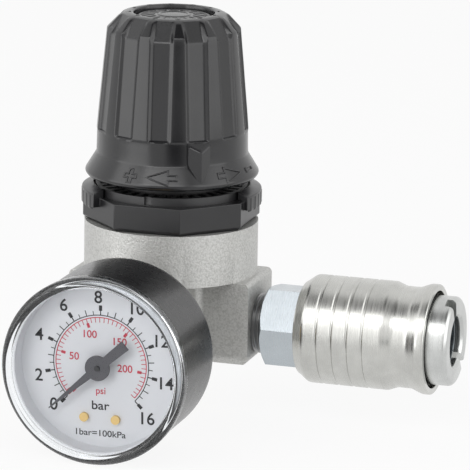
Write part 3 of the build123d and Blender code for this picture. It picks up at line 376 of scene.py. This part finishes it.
threadSteel = turnedMetal("threadSteel", (0.30, 0.30, 0.30), 0.35, "x", 900.0, 0.2)
wire = turnedMetal("wire", (0.45, 0.45, 0.46), 0.3, "x", 500.0, 0.1)
rubber = satinPlastic("rubber", (0.015, 0.015, 0.015), 0.6, 0.3)
print("materials made")

knobShape = {"count": 12, "floor": 3.75, "wall": 0.74, "foot": 43.2, "pointerAngle": -52.1,
             "longest": 1.3, "padColumns": 10, "rimRows": 7}
# the knob's outside as (z, r), from the foot of its bore round the skirt and up to the cap
knobProfile = np.array([
    (34.6, 13.3), (32.75, 13.5), (32.6, 13.8), (32.6, 18.05), (32.68, 18.65), (32.95, 19.15),
    (33.3, 19.4), (33.65, 19.5), (34.0, 19.42), (34.2, 19.3), (35.1, 18.75), (36.0, 18.2),
    (36.9, 17.64), (37.6, 17.21), (37.75, 17.11), (37.85, 17.06), (38.0, 17.04), (38.3, 17.02),
    (39.5, 16.98), (41.2, 16.95), (42.7, 16.93), (43.0, 16.94), (43.15, 16.96), (43.3, 16.98),
    (43.5, 16.98), (43.8, 16.96), (46.4, 16.75), (50.2, 16.4), (54.4, 16.0), (58.4, 15.65),
    (62.4, 15.26), (64.4, 15.08), (64.8, 15.05), (65.0, 15.03), (65.3, 15.0), (65.9, 14.95),
    (66.1, 14.9), (66.25, 14.8), (66.5, 14.58), (66.9, 14.2), (67.4, 13.73), (68.1, 13.07),
    (68.7, 12.5), (68.9, 12.28), (69.1, 11.95), (69.3, 11.5), (69.45, 11.0), (69.55, 10.5),
    (69.6, 10.1), (69.6, 9.7), (69.55, 9.35), (69.4, 9.12), (69.0, 9.0), (68.4, 9.0), (67.7, 9.0)])
fluteFloor = {"z": [43.0, 43.5, 64.9, 69.4], "r": [17.0, 16.27, 14.32, 11.3]}


def halved(profile, longest):
    # a middle point is put into each step of the profile that is longer in z than this
    rows = []
    for start, end in zip(profile[:-1], profile[1:]):
        rows.append(start)
        if abs(end[0] - start[0]) > longest:
            rows.append(start * 0.5 + end * 0.5)
    rows.append(profile[-1])
    return np.array(rows)


def fluteSection():
    # half of a flute across: (distance from its middle, share of the depth), from the pad to the floor
    half, wall = knobShape["floor"] / 2, knobShape["wall"]
    edge = half + wall
    cross = np.array([(edge + 0.5, 0.0), (edge + 0.2, 0.0), (edge + 0.06, 0.02), (edge - 0.04, 0.12),
                      (edge - 0.16, 0.30), (half + wall * 0.5, 0.58), (half + 0.16, 0.86),
                      (half + 0.03, 0.96), (half - 0.1, 1.0), (half - 0.4, 1.0), (half * 0.4, 1.0)])
    across = np.concatenate([-cross[:, 0], cross[::-1, 0]])
    share = np.concatenate([cross[:, 1], cross[::-1, 1]])
    return across[None, :], share[None, :]


def knobBody():
    # rows follow the profile; in each flute the columns stand at fixed sideways distances from its middle
    # and the radius falls from the pad to a flat floor whose own radius tapers with height
    shape = knobShape
    z, pad = halved(knobProfile, shape["longest"]).T
    floor = np.interp(z, fluteFloor["z"], fluteFloor["r"])
    outside = np.arange(len(z)) < len(z) - shape["rimRows"]
    cut = ((z > shape["foot"] - 0.1) & outside & (floor < pad))[:, None]
    pad, floor = pad[:, None], floor[:, None]
    across, share = fluteSection()
    lean = across / np.maximum(pad, 9.0)
    depth = np.where(cut, pad - floor, 0.0)
    flat = (pad - depth) / np.sqrt(np.clip(1 - lean ** 2, 0.5, 1))
    r = np.where(cut, pad * (1 - share) + np.minimum(flat, pad) * share, pad)
    turnBy = np.arcsin(lean)
    between = shape["padColumns"]
    t = np.linspace(0, 1, between + 2)[None, 1:-1]
    thetas, radii = [], []
    for index in range(shape["count"]):
        middle = radians(shape["pointerAngle"]) + 2 * pi * index / shape["count"]
        after = middle + 2 * pi / shape["count"] + turnBy[:, :1]
        thetas += [middle + turnBy, (middle + turnBy[:, -1:]) * (1 - t) + after * t]
        radii += [r, np.repeat(pad, between, 1)]
    theta, radius = np.concatenate(thetas, 1), np.concatenate(radii, 1)
    grid = np.stack([axisX + radius * np.cos(theta), radius * np.sin(theta),
                     np.repeat(z[:, None], theta.shape[1], 1)], -1)
    return gridPiece("knobBody", grid, sharp=31)


def skinRadius(z):
    # radius of the knob's outside at a height, by the rows whose height only grows
    return np.interp(z, knobProfile[3:33, 0], knobProfile[3:33, 1])


ribShape = {"low": 33.9, "full": 38.4, "top": 43.0, "tipHalf": 0.05, "half": 2.55, "swell": 0.9,
            "crest": 19.25, "fall": 0.62, "topR": 16.98, "slope": 1.25, "sunk": 0.3}


def knobPointer():
    # a sloping rib: r = the smaller of a roof falling off sideways and a slope up from the skirt
    shape = ribShape
    low, full, top = shape["low"], shape["full"], shape["top"]
    z = np.concatenate([np.linspace(low, full, 24), np.linspace(full + 0.2, top, 14)])[:, None]
    half = shape["tipHalf"] + shape["half"] * np.clip((z - low) / (full - low), 0, 1) ** shape["swell"]
    u = np.concatenate([[-1.0, -1.0, -0.985], np.linspace(-0.94, 0.94, 13), [0.985, 1.0, 1.0]])
    base = skinRadius(z)
    side = u[None, :] * half
    ramped = shape["topR"] + (top - z) * shape["slope"]
    roof = np.minimum(shape["crest"] - shape["fall"] * np.abs(side), ramped)
    roof = np.maximum(roof, base - shape["sunk"])
    roof[:, :1] = roof[:, -1:] = base - shape["sunk"] - 0.2
    roof[:, 1] = roof[:, -2] = roof[:, 2] - 0.12
    a = radians(knobShape["pointerAngle"])
    grid = np.stack([axisX + roof * cos(a) - side * sin(a), roof * sin(a) + side * cos(a),
                     z + 0 * side], -1)
    return gridPiece("knobPointer", grid, closeColumns=False)


markShape = {"height": 35.55, "width": 0.42, "rise": 0.26, "steps": 5, "r": 18.7, "up": 0.84, "out": 0.54}


def skirtRidge(name, angle, corners, mirror):
    # a narrow rounded ridge along a closed outline on the skirt; corners are (sideways, up the slope)
    # in mm, each edge is divided and each point is offset along its mitre
    m = markShape
    flat = np.array(corners, float) * (mirror, 1)
    after = np.roll(flat, -1, 0)
    t = np.linspace(0, 1, m["steps"], endpoint=False)[None, :, None]
    path = (flat[:, None] * (1 - t) + after[:, None] * t).reshape(-1, 2)
    ahead = np.roll(path, -1, 0) - path
    ahead /= np.linalg.norm(ahead, axis=1, keepdims=True)
    behind = np.roll(ahead, 1, 0)
    out = np.stack([ahead[:, 1] + behind[:, 1], -ahead[:, 0] - behind[:, 0]], -1)
    out /= np.clip(1 + (ahead * behind).sum(1, keepdims=True), 0.5, 2)
    across = np.array([-0.5, -0.38, -0.14, 0.14, 0.38, 0.5]) * m["width"]
    rise = np.array([-0.5, 0.7, 1.0, 1.0, 0.7, -0.5]) * m["rise"]
    spread = path[:, None] + out[:, None] * across[None, :, None]
    z = m["height"] + spread[..., 1] * m["up"]
    r = skinRadius(z) + rise * m["up"]
    a = radians(angle) + spread[..., 0] / m["r"]
    grid = np.stack([axisX + r * np.cos(a), r * np.sin(a), z + rise * m["out"]], -1)
    return gridPiece(name, grid, closeRows=True, sharp=50)


plusOutline = [(0.45, 0.45), (0.45, 1.6), (-0.45, 1.6), (-0.45, 0.45), (-1.5, 0.45), (-1.5, -0.45),
               (-0.45, -0.45), (-0.45, -1.6), (0.45, -1.6), (0.45, -0.45), (1.5, -0.45), (1.5, 0.45)]
minusOutline = [(1.5, 0.45), (-1.5, 0.45), (-1.5, -0.45), (1.5, -0.45)]
arrowOutline = [(-3.6, 0.0), (1.3, -1.75), (1.3, -0.6), (3.3, -0.6), (3.3, 0.6), (1.3, 0.6), (1.3, 1.75)]
place(knobBody(), "knob", knobPlastic, "knob", "knob")
place(knobPointer(), "knob", knobPlastic, "knob")
for markName, angle, outline, mirror in (
        ("plusMark", -101.9, plusOutline, 1), ("minusMark", -4.5, minusOutline, 1),
        ("leftArrow", -78.7, arrowOutline, 1), ("rightArrow", -28.0, arrowOutline, -1)):
    place(skirtRidge(markName, angle, outline, mirror), "knob", knobPlastic, "knob")

capShape = {"foot": 67.65, "edge": 68.45, "r": 8.85, "crown": 69.05, "ring": 0.16,
            "rings": ((3.2, 3.6), (7.8, 8.1)), "bars": 18, "barRise": 0.17, "barSpan": (4.6, 7.0),
            "soft": 0.25}


def capDisc():
    # z over the disc = a low dome + two round rings + a circle of short radial bars
    c = capShape
    a = np.linspace(0, 2 * pi, c["bars"] * 12, endpoint=False)[None, :]
    r = np.concatenate([np.linspace(0.01, 2.2, 5), np.linspace(2.4, c["r"] - 0.25, 44)])[:, None]
    dome = c["edge"] + (c["crown"] - c["edge"]) * (1 - (r / c["r"]) ** 2)
    rings = c["ring"] * sum(band(r, *span, c["soft"]) for span in c["rings"])
    bars = c["barRise"] * band(r, *c["barSpan"], c["soft"]) * smoothStep(np.cos(a * c["bars"]), -0.2, 0.5)
    top = dome + rings + bars
    wall = np.array([[c["r"] - 0.1, c["edge"] - 0.02], [c["r"], c["edge"] - 0.15], [c["r"], c["foot"]]])
    r = np.concatenate([r, wall[:, :1]])
    z = np.concatenate([top, np.repeat(wall[:, 1:], a.shape[1], 1)])
    return gridPiece("knobCapTop", np.stack([axisX + r * np.cos(a), r * np.sin(a), z], -1))


place(capDisc(), "knob", knobPlastic, "knob", "knob_cap")
print("knob built")

nutFinish = {"lugFloor": 28.9, "lugInner": (17.6, 30.9), "lugOuter": (20.2, 29.9),
             "ribs": 9, "ribRise": 0.16, "ribHeights": (26.4, 29.5), "halfArc": 30.0, "lugCentre": 16.7,
             "sunk": 0.25, "proud": 0.2}


def slopeLugs(piece):
    # the top of each lug falls from its inner to its outer edge, by distance from the knob's axis
    mesh = piece.data
    co = np.empty(len(mesh.vertices) * 3, np.float32)
    mesh.vertices.foreach_get("co", co)
    co = co.reshape(-1, 3) / mm
    r = np.hypot(co[:, 0] - axisX, co[:, 1])
    inner, outer = nutFinish["lugInner"], nutFinish["lugOuter"]
    top = np.interp(r, (inner[0], outer[0]), (inner[1], outer[1]))
    high = co[:, 2] > nutFinish["lugFloor"] + 0.05
    co[high, 2] = top[high]
    putPoints(mesh, co)
    mesh.update()


def lugRibs(name, centre):
    # a strip on the lug's outer face: r = the lug's radius + a row of rounded ribs along the arc
    n = nutFinish
    u = np.linspace(-1, 1, n["ribs"] * 12 + 1)
    low, high = n["ribHeights"]
    z = np.array([low, low, low + 0.25, high - 0.15, high, high])
    up = np.array([0, 0.6, 1, 1, 0.6, 0])[:, None]
    wave = n["ribRise"] * np.clip(1.6 * np.sin(u * pi * n["ribs"] / 2 + pi / 2) ** 2 - 0.3, 0, 1)[None, :]
    fade = band(u, -0.985, 0.985, 0.015)[None, :]
    r = n["lugOuter"][0] - n["sunk"] + up * fade * (n["proud"] + wave)
    a = radians(centre) + u[None, :] * radians(n["halfArc"])
    grid = np.stack([axisX + r * np.cos(a), r * np.sin(a), z[:, None] + 0 * r], -1)
    return gridPiece(name, grid, closeColumns=False, sharp=40)


nut = place(carried("panel_nut"), "regulator", nutPlastic, "bonnet", "panel_nut")
slopeLugs(nut)
for side in (0, 180):
    place(lugRibs("lugRibs%d" % side, nutFinish["lugCentre"] + side), "regulator", nutPlastic, "bonnet")
place(carried("bonnet"), "regulator", neckPlastic, "bonnet", "bonnet")
print("nut and bonnet dressed")

place(carried("body_casting", sharp=24), "regulator", cast, "casting", "body_casting")
print("casting dressed")

gaugeShape = {"caseBack": -29.75, "lip": -50.2, "front": -53.7, "dialY": -47.3,
              "caseR": 20.3, "innerR": 19.3, "holeR": 5.4, "bezelR": 20.75,
              "paneR": 18.4, "paneDepth": 0.7, "cupR": 18.1, "cupDepth": 2.65}


def caseShell():
    # lathe outline of a pressed cup with a rounded back and a hole for the socket
    g = gaugeShape
    back, lip, outer, inner = g["caseBack"], g["lip"], g["caseR"], g["innerR"]
    return turned("gaugeCaseShell", "gauge", softCorners([
        (back, g["holeR"]), (back, outer - 1.5, 0.2), (back - 0.45, outer - 0.7, 0.8),
        (back - 1.6, outer, 0.9), (lip, outer, 0.25), (lip, inner, 0.15), (back - 1.2, inner, 0.8),
        (back - 1.0, g["holeR"])], 1.2), 220, closed=True)


def bezelRing():
    # lathe outline of the clear rim, from the case's lip round the front and back beside the pane
    g = gaugeShape
    lip, front, outer, inner = g["lip"], g["front"], g["bezelR"], g["paneR"]
    return turned("bezelRing", "gauge", softCorners([
        (lip + 0.05, outer - 0.3), (lip - 0.15, outer, 0.2), (front + 0.9, outer, 0.7),
        (front, outer - 1.0, 0.5), (front, inner + 0.7, 0.35), (front + g["paneDepth"], inner, 0.2),
        (front + 2.3, inner, 0.2), (front + 2.5, inner + 0.8, 0.2), (lip + 0.2, inner + 0.85)], 0.6),
        240, closed=True)


def paneDisc():
    # a flat disc of three rings a little behind the rim's front
    station = gaugeShape["front"] + gaugeShape["paneDepth"]
    rings = (0.01, 6.0, 12.0, gaugeShape["paneR"] - 0.02)
    return turned("paneDisc", "gauge", np.array([(station, r) for r in rings]), 120)


def dialCup():
    # the dial's own turned-up edge: a thin white wall from the dial towards the pane
    g = gaugeShape
    foot, top, r = g["dialY"], g["front"] + g["cupDepth"], g["cupR"]
    return turned("dialCup", "gauge", softCorners([
        (foot + 0.05, r + 0.45), (top, r + 0.65, 0.1), (top, r + 0.25, 0.1), (foot - 0.1, r),
        (foot + 0.05, r)], 0.5), 200, closed=True)


place(caseShell(), "regulator", caseEnamel, "gauge_case", "gauge_case")
place(dialCup(), "regulator", dialWhite, "dial")
place(bezelRing(), "regulator", rim, "window", "gauge_window")
place(paneDisc(), "regulator", pane, "window")

dialPrint = {"centre": (0.05, 0.4), "turn": 1.0, "blackArc": 10.82, "redArc": 10.3, "lineWidth": 0.2,
             "zero": 225.0, "sweep": 270.0, "bar": 16.0, "psiPerBar": 14.5038, "psi": 230,
             "barHeight": 2.8, "psiHeight": 1.7, "bold": 0.012}
# each row of marks as (inner radius, outer radius, width)
tickShape = {"finestTicks": (10.9, 11.75, 0.17), "oddTicks": (10.9, 12.15, 0.2),
             "evenStems": (10.9, 12.0, 0.24), "evenHeads": (11.8, 13.0, 0.72),
             "redTicks": (9.2, 10.3, 0.16), "redHeads": (8.3, 9.3, 0.62)}
# each figure's place by x and z from the print's centre
barFigures = {0: (-10.9, -9.66), 2: (-14.25, -3.42), 4: (-14.1, 5.7), 6: (-8.4, 12.6), 8: (-0.5, 14.9),
              10: (8.4, 13.0), 12: (13.9, 6.2), 14: (14.9, -3.1), 16: (10.6, -11.24)}
psiFigures = {50: (-6.1, 1.4), 100: (-2.4, 6.55), 150: (4.4, 5.3), 200: (5.45, -0.57)}
dress("gauge_dial", dialWhite)


def dialPoint(x, z, lift):
    # a place on the dial by the reader's x and z from the print's centre, this far in front of it
    c, s = cos(radians(dialPrint["turn"])), sin(radians(dialPrint["turn"]))
    px, pz = dialPrint["centre"]
    return np.stack([axisX + px + x * c - z * s, np.full(np.shape(x), gaugeShape["dialY"] - lift),
                     pz + x * s + z * c], -1)


def barAngle(value):
    # degrees from +X at which the pointer shows this many bar
    return dialPrint["zero"] - dialPrint["sweep"] * value / dialPrint["bar"]


def fromPsi(value):
    # the same pressure in bar
    return value / dialPrint["psiPerBar"]


def strokes(name, values, material):
    # one radial bar for each value in bar: four corners from inner to outer and width across
    inner, outer, width = tickShape[name]
    a = np.radians([barAngle(value) for value in values])[:, None]
    along = np.array([inner, outer, outer, inner])[None, :]
    across = np.array([-0.5, -0.5, 0.5, 0.5])[None, :] * width
    x = along * np.cos(a) - across * np.sin(a)
    z = along * np.sin(a) + across * np.cos(a)
    faces = np.arange(len(values) * 4).reshape(-1, 4)[:, ::-1].tolist()
    mesh = bpy.data.meshes.new(name)
    mesh.from_pydata((dialPoint(x, z, 0.04).reshape(-1, 3) * mm).tolist(), [], faces)
    mesh.update()
    place(linked(name, mesh), "regulator", material, "dial")


def arcBand(name, end, material):
    # a flat piece of a ring from the zero mark to this many bar
    a = np.radians(np.linspace(barAngle(0), barAngle(end), 160))[:, None]
    half = dialPrint["lineWidth"] / 2
    r = np.array([dialPrint[name] - half, dialPrint[name] + half])[None, :]
    grid = dialPoint(r * np.cos(a), r * np.sin(a), 0.035)
    place(gridPiece(name, grid, closeColumns=False), "regulator", material, "dial")


def words(name, text, x, z, height, material, width=None, weight=dialPrint["bold"]):
    # letters set flat on the dial, height is the height of a capital, width an overall width if given
    curve = bpy.data.curves.new(name, "FONT")
    curve.body = text
    curve.size = 1.0
    curve.offset = weight
    curve.align_x = "CENTER"
    curve.align_y = "BOTTOM_BASELINE"
    made = linked(name, curve)
    bpy.context.view_layer.update()
    mesh = bpy.data.meshes.new_from_object(made)
    bpy.data.objects.remove(made)
    co = np.empty(len(mesh.vertices) * 3, np.float32)
    mesh.vertices.foreach_get("co", co)
    co = co.reshape(-1, 3)
    scale = height / 0.73                       # a capital is 0.73 of the letter size
    wide = (co[:, 0].max() - co[:, 0].min()) * scale
    squeeze = 1.0 if width is None else width / wide
    flatX = (co[:, 0] - (co[:, 0].max() + co[:, 0].min()) / 2) * scale * squeeze + x
    flatZ = (co[:, 1] - 0.365) * scale + z
    putPoints(mesh, dialPoint(flatX, flatZ, 0.045))
    mesh.update()
    place(linked(name, mesh), "regulator", material, "dial")


halfBars = [step / 2 for step in range(33)]
evenBars = halfBars[::4]
arcBand("blackArc", dialPrint["bar"], printBlack)
strokes("finestTicks", halfBars[1::2], printBlack)
strokes("oddTicks", halfBars[2::4], printBlack)
strokes("evenStems", evenBars, printBlack)
strokes("evenHeads", evenBars, printBlack)
arcBand("redArc", fromPsi(dialPrint["psi"]), printRed)
strokes("redTicks", [fromPsi(psi) for psi in range(0, dialPrint["psi"] + 1, 5)], printRed)
strokes("redHeads", [fromPsi(psi) for psi in (0, *psiFigures)], printRed)
for value, (x, z) in barFigures.items():
    words("bar%d" % value, str(value), x, z, dialPrint["barHeight"], printBlack)
for value, (x, z) in psiFigures.items():
    words("psi%d" % value, str(value), x, z, dialPrint["psiHeight"], printRed)
words("unitRed", "psi", -0.1, -5.9, 1.55, printRed, None, 0.01)
words("unitBlack", "bar", -0.16, -9.2, 2.0, printBlack, 4.0, 0.01)
words("unitNote", "1bar=100kPa", -0.16, -15.45, 1.45, printBlack, 11.4, 0.008)
place(carried("gauge_pointer"), "pointer", pointerPaint, "pointer", "gauge_pointer")
print("gauge built")

couplerShape = {"rear": 10.8, "rearR": 10.6, "sleeveR": 12.2, "waistR": 11.35, "rimR": 12.35, "front": 41.1,
                "holeR": 10.9, "boreR": 10.06, "landR": 8.66, "landRear": 30.8, "landFront": 37.0,
                "barrelEnd": 31.2, "waist": (33.4, 36.8), "rimStart": 39.3, "grooves": 4,
                "firstGroove": 16.4, "pitch": 3.5, "grooveWidth": 0.8, "grooveDepth": 0.28,
                "grooveFloorR": 11.9}


def grooveCut(s, r):
    # the radius drops by half an ellipse near each groove's station, on the outside only
    c = couplerShape
    cut = 0 * r
    for k in range(c["grooves"]):
        d = np.abs(s - c["firstGroove"] - k * c["pitch"]) / (c["grooveWidth"] / 2)
        cut = cut - c["grooveDepth"] * np.sqrt(np.clip(1 - d ** 2, 0, 1)) * (r > c["grooveFloorR"])
    return cut


def sleeveSkin():
    # lathe outline: a grooved barrel, a waist, a flared rim, then the bore with its land for the balls
    c = couplerShape
    waistStart, waistEnd = c["waist"]
    outline = softCorners([
        (c["rear"], c["boreR"]), (c["rear"], c["rearR"] - 0.1, 0.15), (c["rear"] + 0.3, c["rearR"], 0.2),
        (c["rear"] + 2.4, c["sleeveR"], 0.5), (c["barrelEnd"], c["sleeveR"], 0.35),
        (waistStart, c["waistR"], 0.5), (waistEnd, c["waistR"], 0.5),
        (c["rimStart"], c["rimR"], 0.4), (c["front"] - 0.25, c["rimR"], 0.3),
        (c["front"], c["rimR"] - 0.25, 0.15), (c["front"], c["holeR"], 0.2), (c["landFront"], c["holeR"]),
        (c["landFront"], c["landR"]), (c["landRear"], c["landR"]), (c["landRear"], c["boreR"])], 0.16)
    return turned("sleeveSkin", "coupler", outline, 240, lift=grooveCut, closed=True)


place(sleeveSkin(), "sleeve", sleeveZinc, "sleeve_steel", "coupler_sleeve")
place(carried("coupler_body"), "regulator", zinc, "zinc_steel", "coupler_body")

noseShape = {"rear": 40.0, "front": 45.8, "r": 10.0, "boreR": 7.5, "mouthR": 5.3, "lip": 2.0,
             "slots": (18.0, -138.0), "slotHalf": 8.0, "slotEdge": 0.15, "slotDepth": 1.9,
             "neckR": 6.35, "neckSpan": (0.08, 2.42), "ridge": 0.45, "pitch": 0.8}


def noseCollar():
    # lathe outline; between the sides of a slot no point lies further forward than the slot's floor
    n = noseShape
    front, r, mouth, bore = n["front"], n["r"], n["mouthR"], n["boreR"]
    outline = softCorners([
        (n["rear"], bore), (n["rear"], r - 0.2, 0.2), (n["rear"] + 0.3, r, 0.3), (front - 0.7, r, 0.35),
        (front, r - 0.7, 0.35), (front, mouth + 0.9, 0.2), (front - 0.6, mouth + 0.3, 0.15),
        (front - n["lip"], mouth + 0.3), (front - n["lip"], bore)], 0.3)
    half, edge = radians(n["slotHalf"]), radians(n["slotEdge"])
    angles = [np.linspace(0, 2 * pi, 160, endpoint=False)]
    for middle in np.radians(n["slots"]):
        angles.append(middle + np.array([-half - edge, -half, half, half + edge]))
    a = np.unique(np.concatenate(angles) % (2 * pi))[None, :]
    inSlot = np.zeros(a.shape, bool)
    for middle in np.radians(n["slots"]):
        inSlot |= np.abs(wrap(a - middle)) < half + edge / 2
    s = np.where(inSlot, np.minimum(outline[:, :1], front - n["slotDepth"]), outline[:, :1])
    radius = outline[:, 1:2] + 0 * a
    grid = np.stack([mouthX + s, -radius * np.sin(a), radius * np.cos(a)], -1)
    return gridPiece("noseCollar", grid, closeRows=True, sharp=30)


def threadRidges():
    # r = the neck's radius plus a triangle wave along it
    n = noseShape
    s = np.linspace(*n["neckSpan"], 31)
    wave = np.abs((s / n["pitch"]) % 1 - 0.5) * 2
    rows = np.stack([s, n["neckR"] + n["ridge"] * wave], -1)
    rows = np.concatenate([[(s[0], n["neckR"] - 0.3)], rows, [(s[-1], n["neckR"] - 0.3)]])
    return turned("threadRidges", "coupler", rows, 90, closed=True, sharp=30)


place(noseCollar(), "regulator", noseSteel, "zinc_steel", "coupler_nose")
place(threadRidges(), "regulator", threadSteel, "zinc_steel")
print("coupler built")

# the rest keeps its shape
for nodeName, material in (
        ("valve_seat", brassUp), ("valve_poppet", brassUp), ("valve_seal", rubber), ("valve_spring", wire),
        ("bottom_plug", brassUp), ("bottom_plug_seal", rubber), ("rear_port_plug", zinc),
        ("diaphragm", rubber), ("diaphragm_plate", zinc), ("relief_seat", brassUp), ("main_spring", wire),
        ("spring_plate", zinc), ("adjusting_screw", brassUp), ("screw_clip", wire),
        ("bourdon_tube", brass), ("gauge_socket", brass), ("dial_screws", brass),
        ("pointer_arbor", hubDark), ("sector_gear", brass), ("tube_link", brass),
        ("movement_frame", brass), ("coupler_barrel", zinc),
        ("sleeve_spring", wire), ("sleeve_stop_ring", wire), ("locking_balls", zinc),
        ("coupler_seal", rubber), ("coupler_valve", brass), ("coupler_valve_spring", wire)):
    dress(nodeName, material)
print("inner nodes dressed")

studio = {"floorZ": -20.85, "floorSpan": ((-1.6, -0.20), (1.6, 2.6)), "floor": 0.82, "floorShown": 0.9,
          "world": 0.62, "gap": 0.10, "gapHeight": 72, "gapDots": (0.86, 0.95),
          "opening": 0.0, "openingHeight": -13, "openingTurn": 7, "openingDots": (0.945, 0.99),
          "leftBox": (1.5, -61), "rightBox": (1.15, 62), "boxSize": (0.78, 0.8), "boxDistance": 0.75,
          "boxHeight": 16, "frontPower": 1.7, "frontSize": (0.7, 0.3), "frontDistance": 0.8,
          "frontTurn": -14, "frontHeight": 44}
view = {"lens": 290.85, "azimuth": 17.191, "elevation": 13.417, "distance": 847.08, "roll": 1.0219,
        "target": (37.828, -5.0035, 20.984)}
az, el, ro = radians(view["azimuth"]), radians(view["elevation"]), radians(view["roll"])
backward = Vector((sin(az) * cos(el), -cos(az) * cos(el), sin(el)))
sideways = Vector((cos(az), sin(az), 0))
upward = backward.cross(sideways)
imageRight = sideways * cos(ro) + upward * sin(ro)
imageUp = -sideways * sin(ro) + upward * cos(ro)


def softLamp(name, azimuth, elevation, distance, size, power):
    # an area lamp aimed at the object's middle; azimuth is measured from the camera's own direction
    a, e = radians(view["azimuth"] + azimuth), radians(elevation)
    aim = Vector(view["target"]) * mm
    way = Vector((sin(a) * cos(e), -cos(a) * cos(e), sin(e)))
    lamp = bpy.data.lights.new(name, "AREA")
    lamp.shape = "RECTANGLE"
    lamp.size, lamp.size_y = size
    lamp.energy = power
    made = linked(name, lamp)
    made.location = aim + way * distance
    made.rotation_euler = way.to_track_quat("Z", "Y").to_euler()


def sideBox(name):
    # a large soft box beside the object; its watts give it the brightness set for that name
    level, azimuth = studio[name]
    width, height = studio["boxSize"]
    softLamp(name, azimuth, studio["boxHeight"], studio["boxDistance"], studio["boxSize"],
             level * pi * width * height)


sideBox("leftBox")
sideBox("rightBox")
softLamp("frontBox", studio["frontTurn"], studio["frontHeight"], studio["frontDistance"],
         studio["frontSize"], studio["frontPower"])


def maths(tree, operation, first, second):
    # two values put together by this operation
    made = nodeIn(tree, "ShaderNodeMath", operation=operation)
    tree.links.new(first, made.inputs[0])
    tree.links.new(second, made.inputs[1])
    return made.outputs["Value"]


def softFloor():
    # a diffuse table top that takes shadows; what sees it directly gets a share of even white as well
    (left, near), (right, far) = studio["floorSpan"]
    z = studio["floorZ"] * mm
    mesh = bpy.data.meshes.new("studioFloor")
    corners = [(left, near, z), (right, near, z), (right, far, z), (left, far, z)]
    mesh.from_pydata(corners, [], [(0, 1, 2, 3)])
    mat, tree, shader = startMaterial("floorWhite", (studio["floor"],) * 3, 0.9)
    even = nodeIn(tree, "ShaderNodeEmission", Strength=1.0)
    light = tree.nodes.new("ShaderNodeLightPath").outputs
    seen = maths(tree, "MAXIMUM", light["Is Camera Ray"], light["Is Glossy Ray"])
    seen = maths(tree, "MAXIMUM", seen, light["Is Transmission Ray"])
    share = mapRange(tree, seen, 0, 1, 0, studio["floorShown"])
    mix = tree.nodes.new("ShaderNodeMixShader")
    tree.links.new(share, mix.inputs["Fac"])
    tree.links.new(shader.outputs["BSDF"], mix.inputs[1])
    tree.links.new(even.outputs["Emission"], mix.inputs[2])
    tree.links.new(mix.outputs["Shader"], tree.nodes["Material Output"].inputs["Surface"])
    mesh.materials.append(mat)
    linked("studioFloor", mesh)


def darkSpot(tree, direction, height, dots, level, turn=0):
    # 1 away from a spot on the camera's side at this height in degrees, falling to the level inside it
    across = cos(radians(height))
    azimuth = radians(view["azimuth"] + turn)
    facing = nodeIn(tree, "ShaderNodeVectorMath", operation="DOT_PRODUCT")
    facing.inputs[1].default_value = (sin(azimuth) * across, -cos(azimuth) * across, sin(radians(height)))
    tree.links.new(direction, facing.inputs[0])
    return mapRange(tree, facing.outputs["Value"], *dots, 1.0, level)


def tentWorld():
    # pale walls all round, with a dark gap overhead and a dark opening on the camera's side; metal and
    # glass see the walls as white, and the camera sees white everywhere
    world = bpy.data.worlds.new("studioWorld")
    bpy.context.scene.world = world
    world.use_nodes = True
    tree = world.node_tree
    back = tree.nodes["Background"]
    way = tree.nodes.new("ShaderNodeTexCoord").outputs["Generated"]
    gap = darkSpot(tree, way, studio["gapHeight"], studio["gapDots"], studio["gap"])
    opening = darkSpot(tree, way, studio["openingHeight"], studio["openingDots"], studio["opening"],
                       studio["openingTurn"])
    light = tree.nodes.new("ShaderNodeLightPath").outputs
    mirrored = maths(tree, "MAXIMUM", light["Is Glossy Ray"], light["Is Transmission Ray"])
    wall = mapRange(tree, mirrored, 0, 1, studio["world"], 1.0)
    level = maths(tree, "MULTIPLY", maths(tree, "MULTIPLY", gap, opening), wall)
    strength = maths(tree, "MAXIMUM", level, light["Is Camera Ray"])
    tree.links.new(strength, back.inputs["Strength"])
    back.inputs["Color"].default_value = (1, 1, 1, 1)


softFloor()
tentWorld()

camera = bpy.data.cameras.new("camera")
camera.lens = view["lens"]
camera.sensor_width = 36
camera.clip_start = 0.01
camera.clip_end = 20
eye = linked("camera", camera)
spot = Vector(view["target"]) * mm + backward * view["distance"] * mm
turn = Matrix((imageRight, imageUp, backward)).transposed().to_4x4()
eye.matrix_world = Matrix.Translation(spot) @ turn
bpy.context.scene.camera = eye
bpy.context.scene.view_settings.view_transform = "Standard"
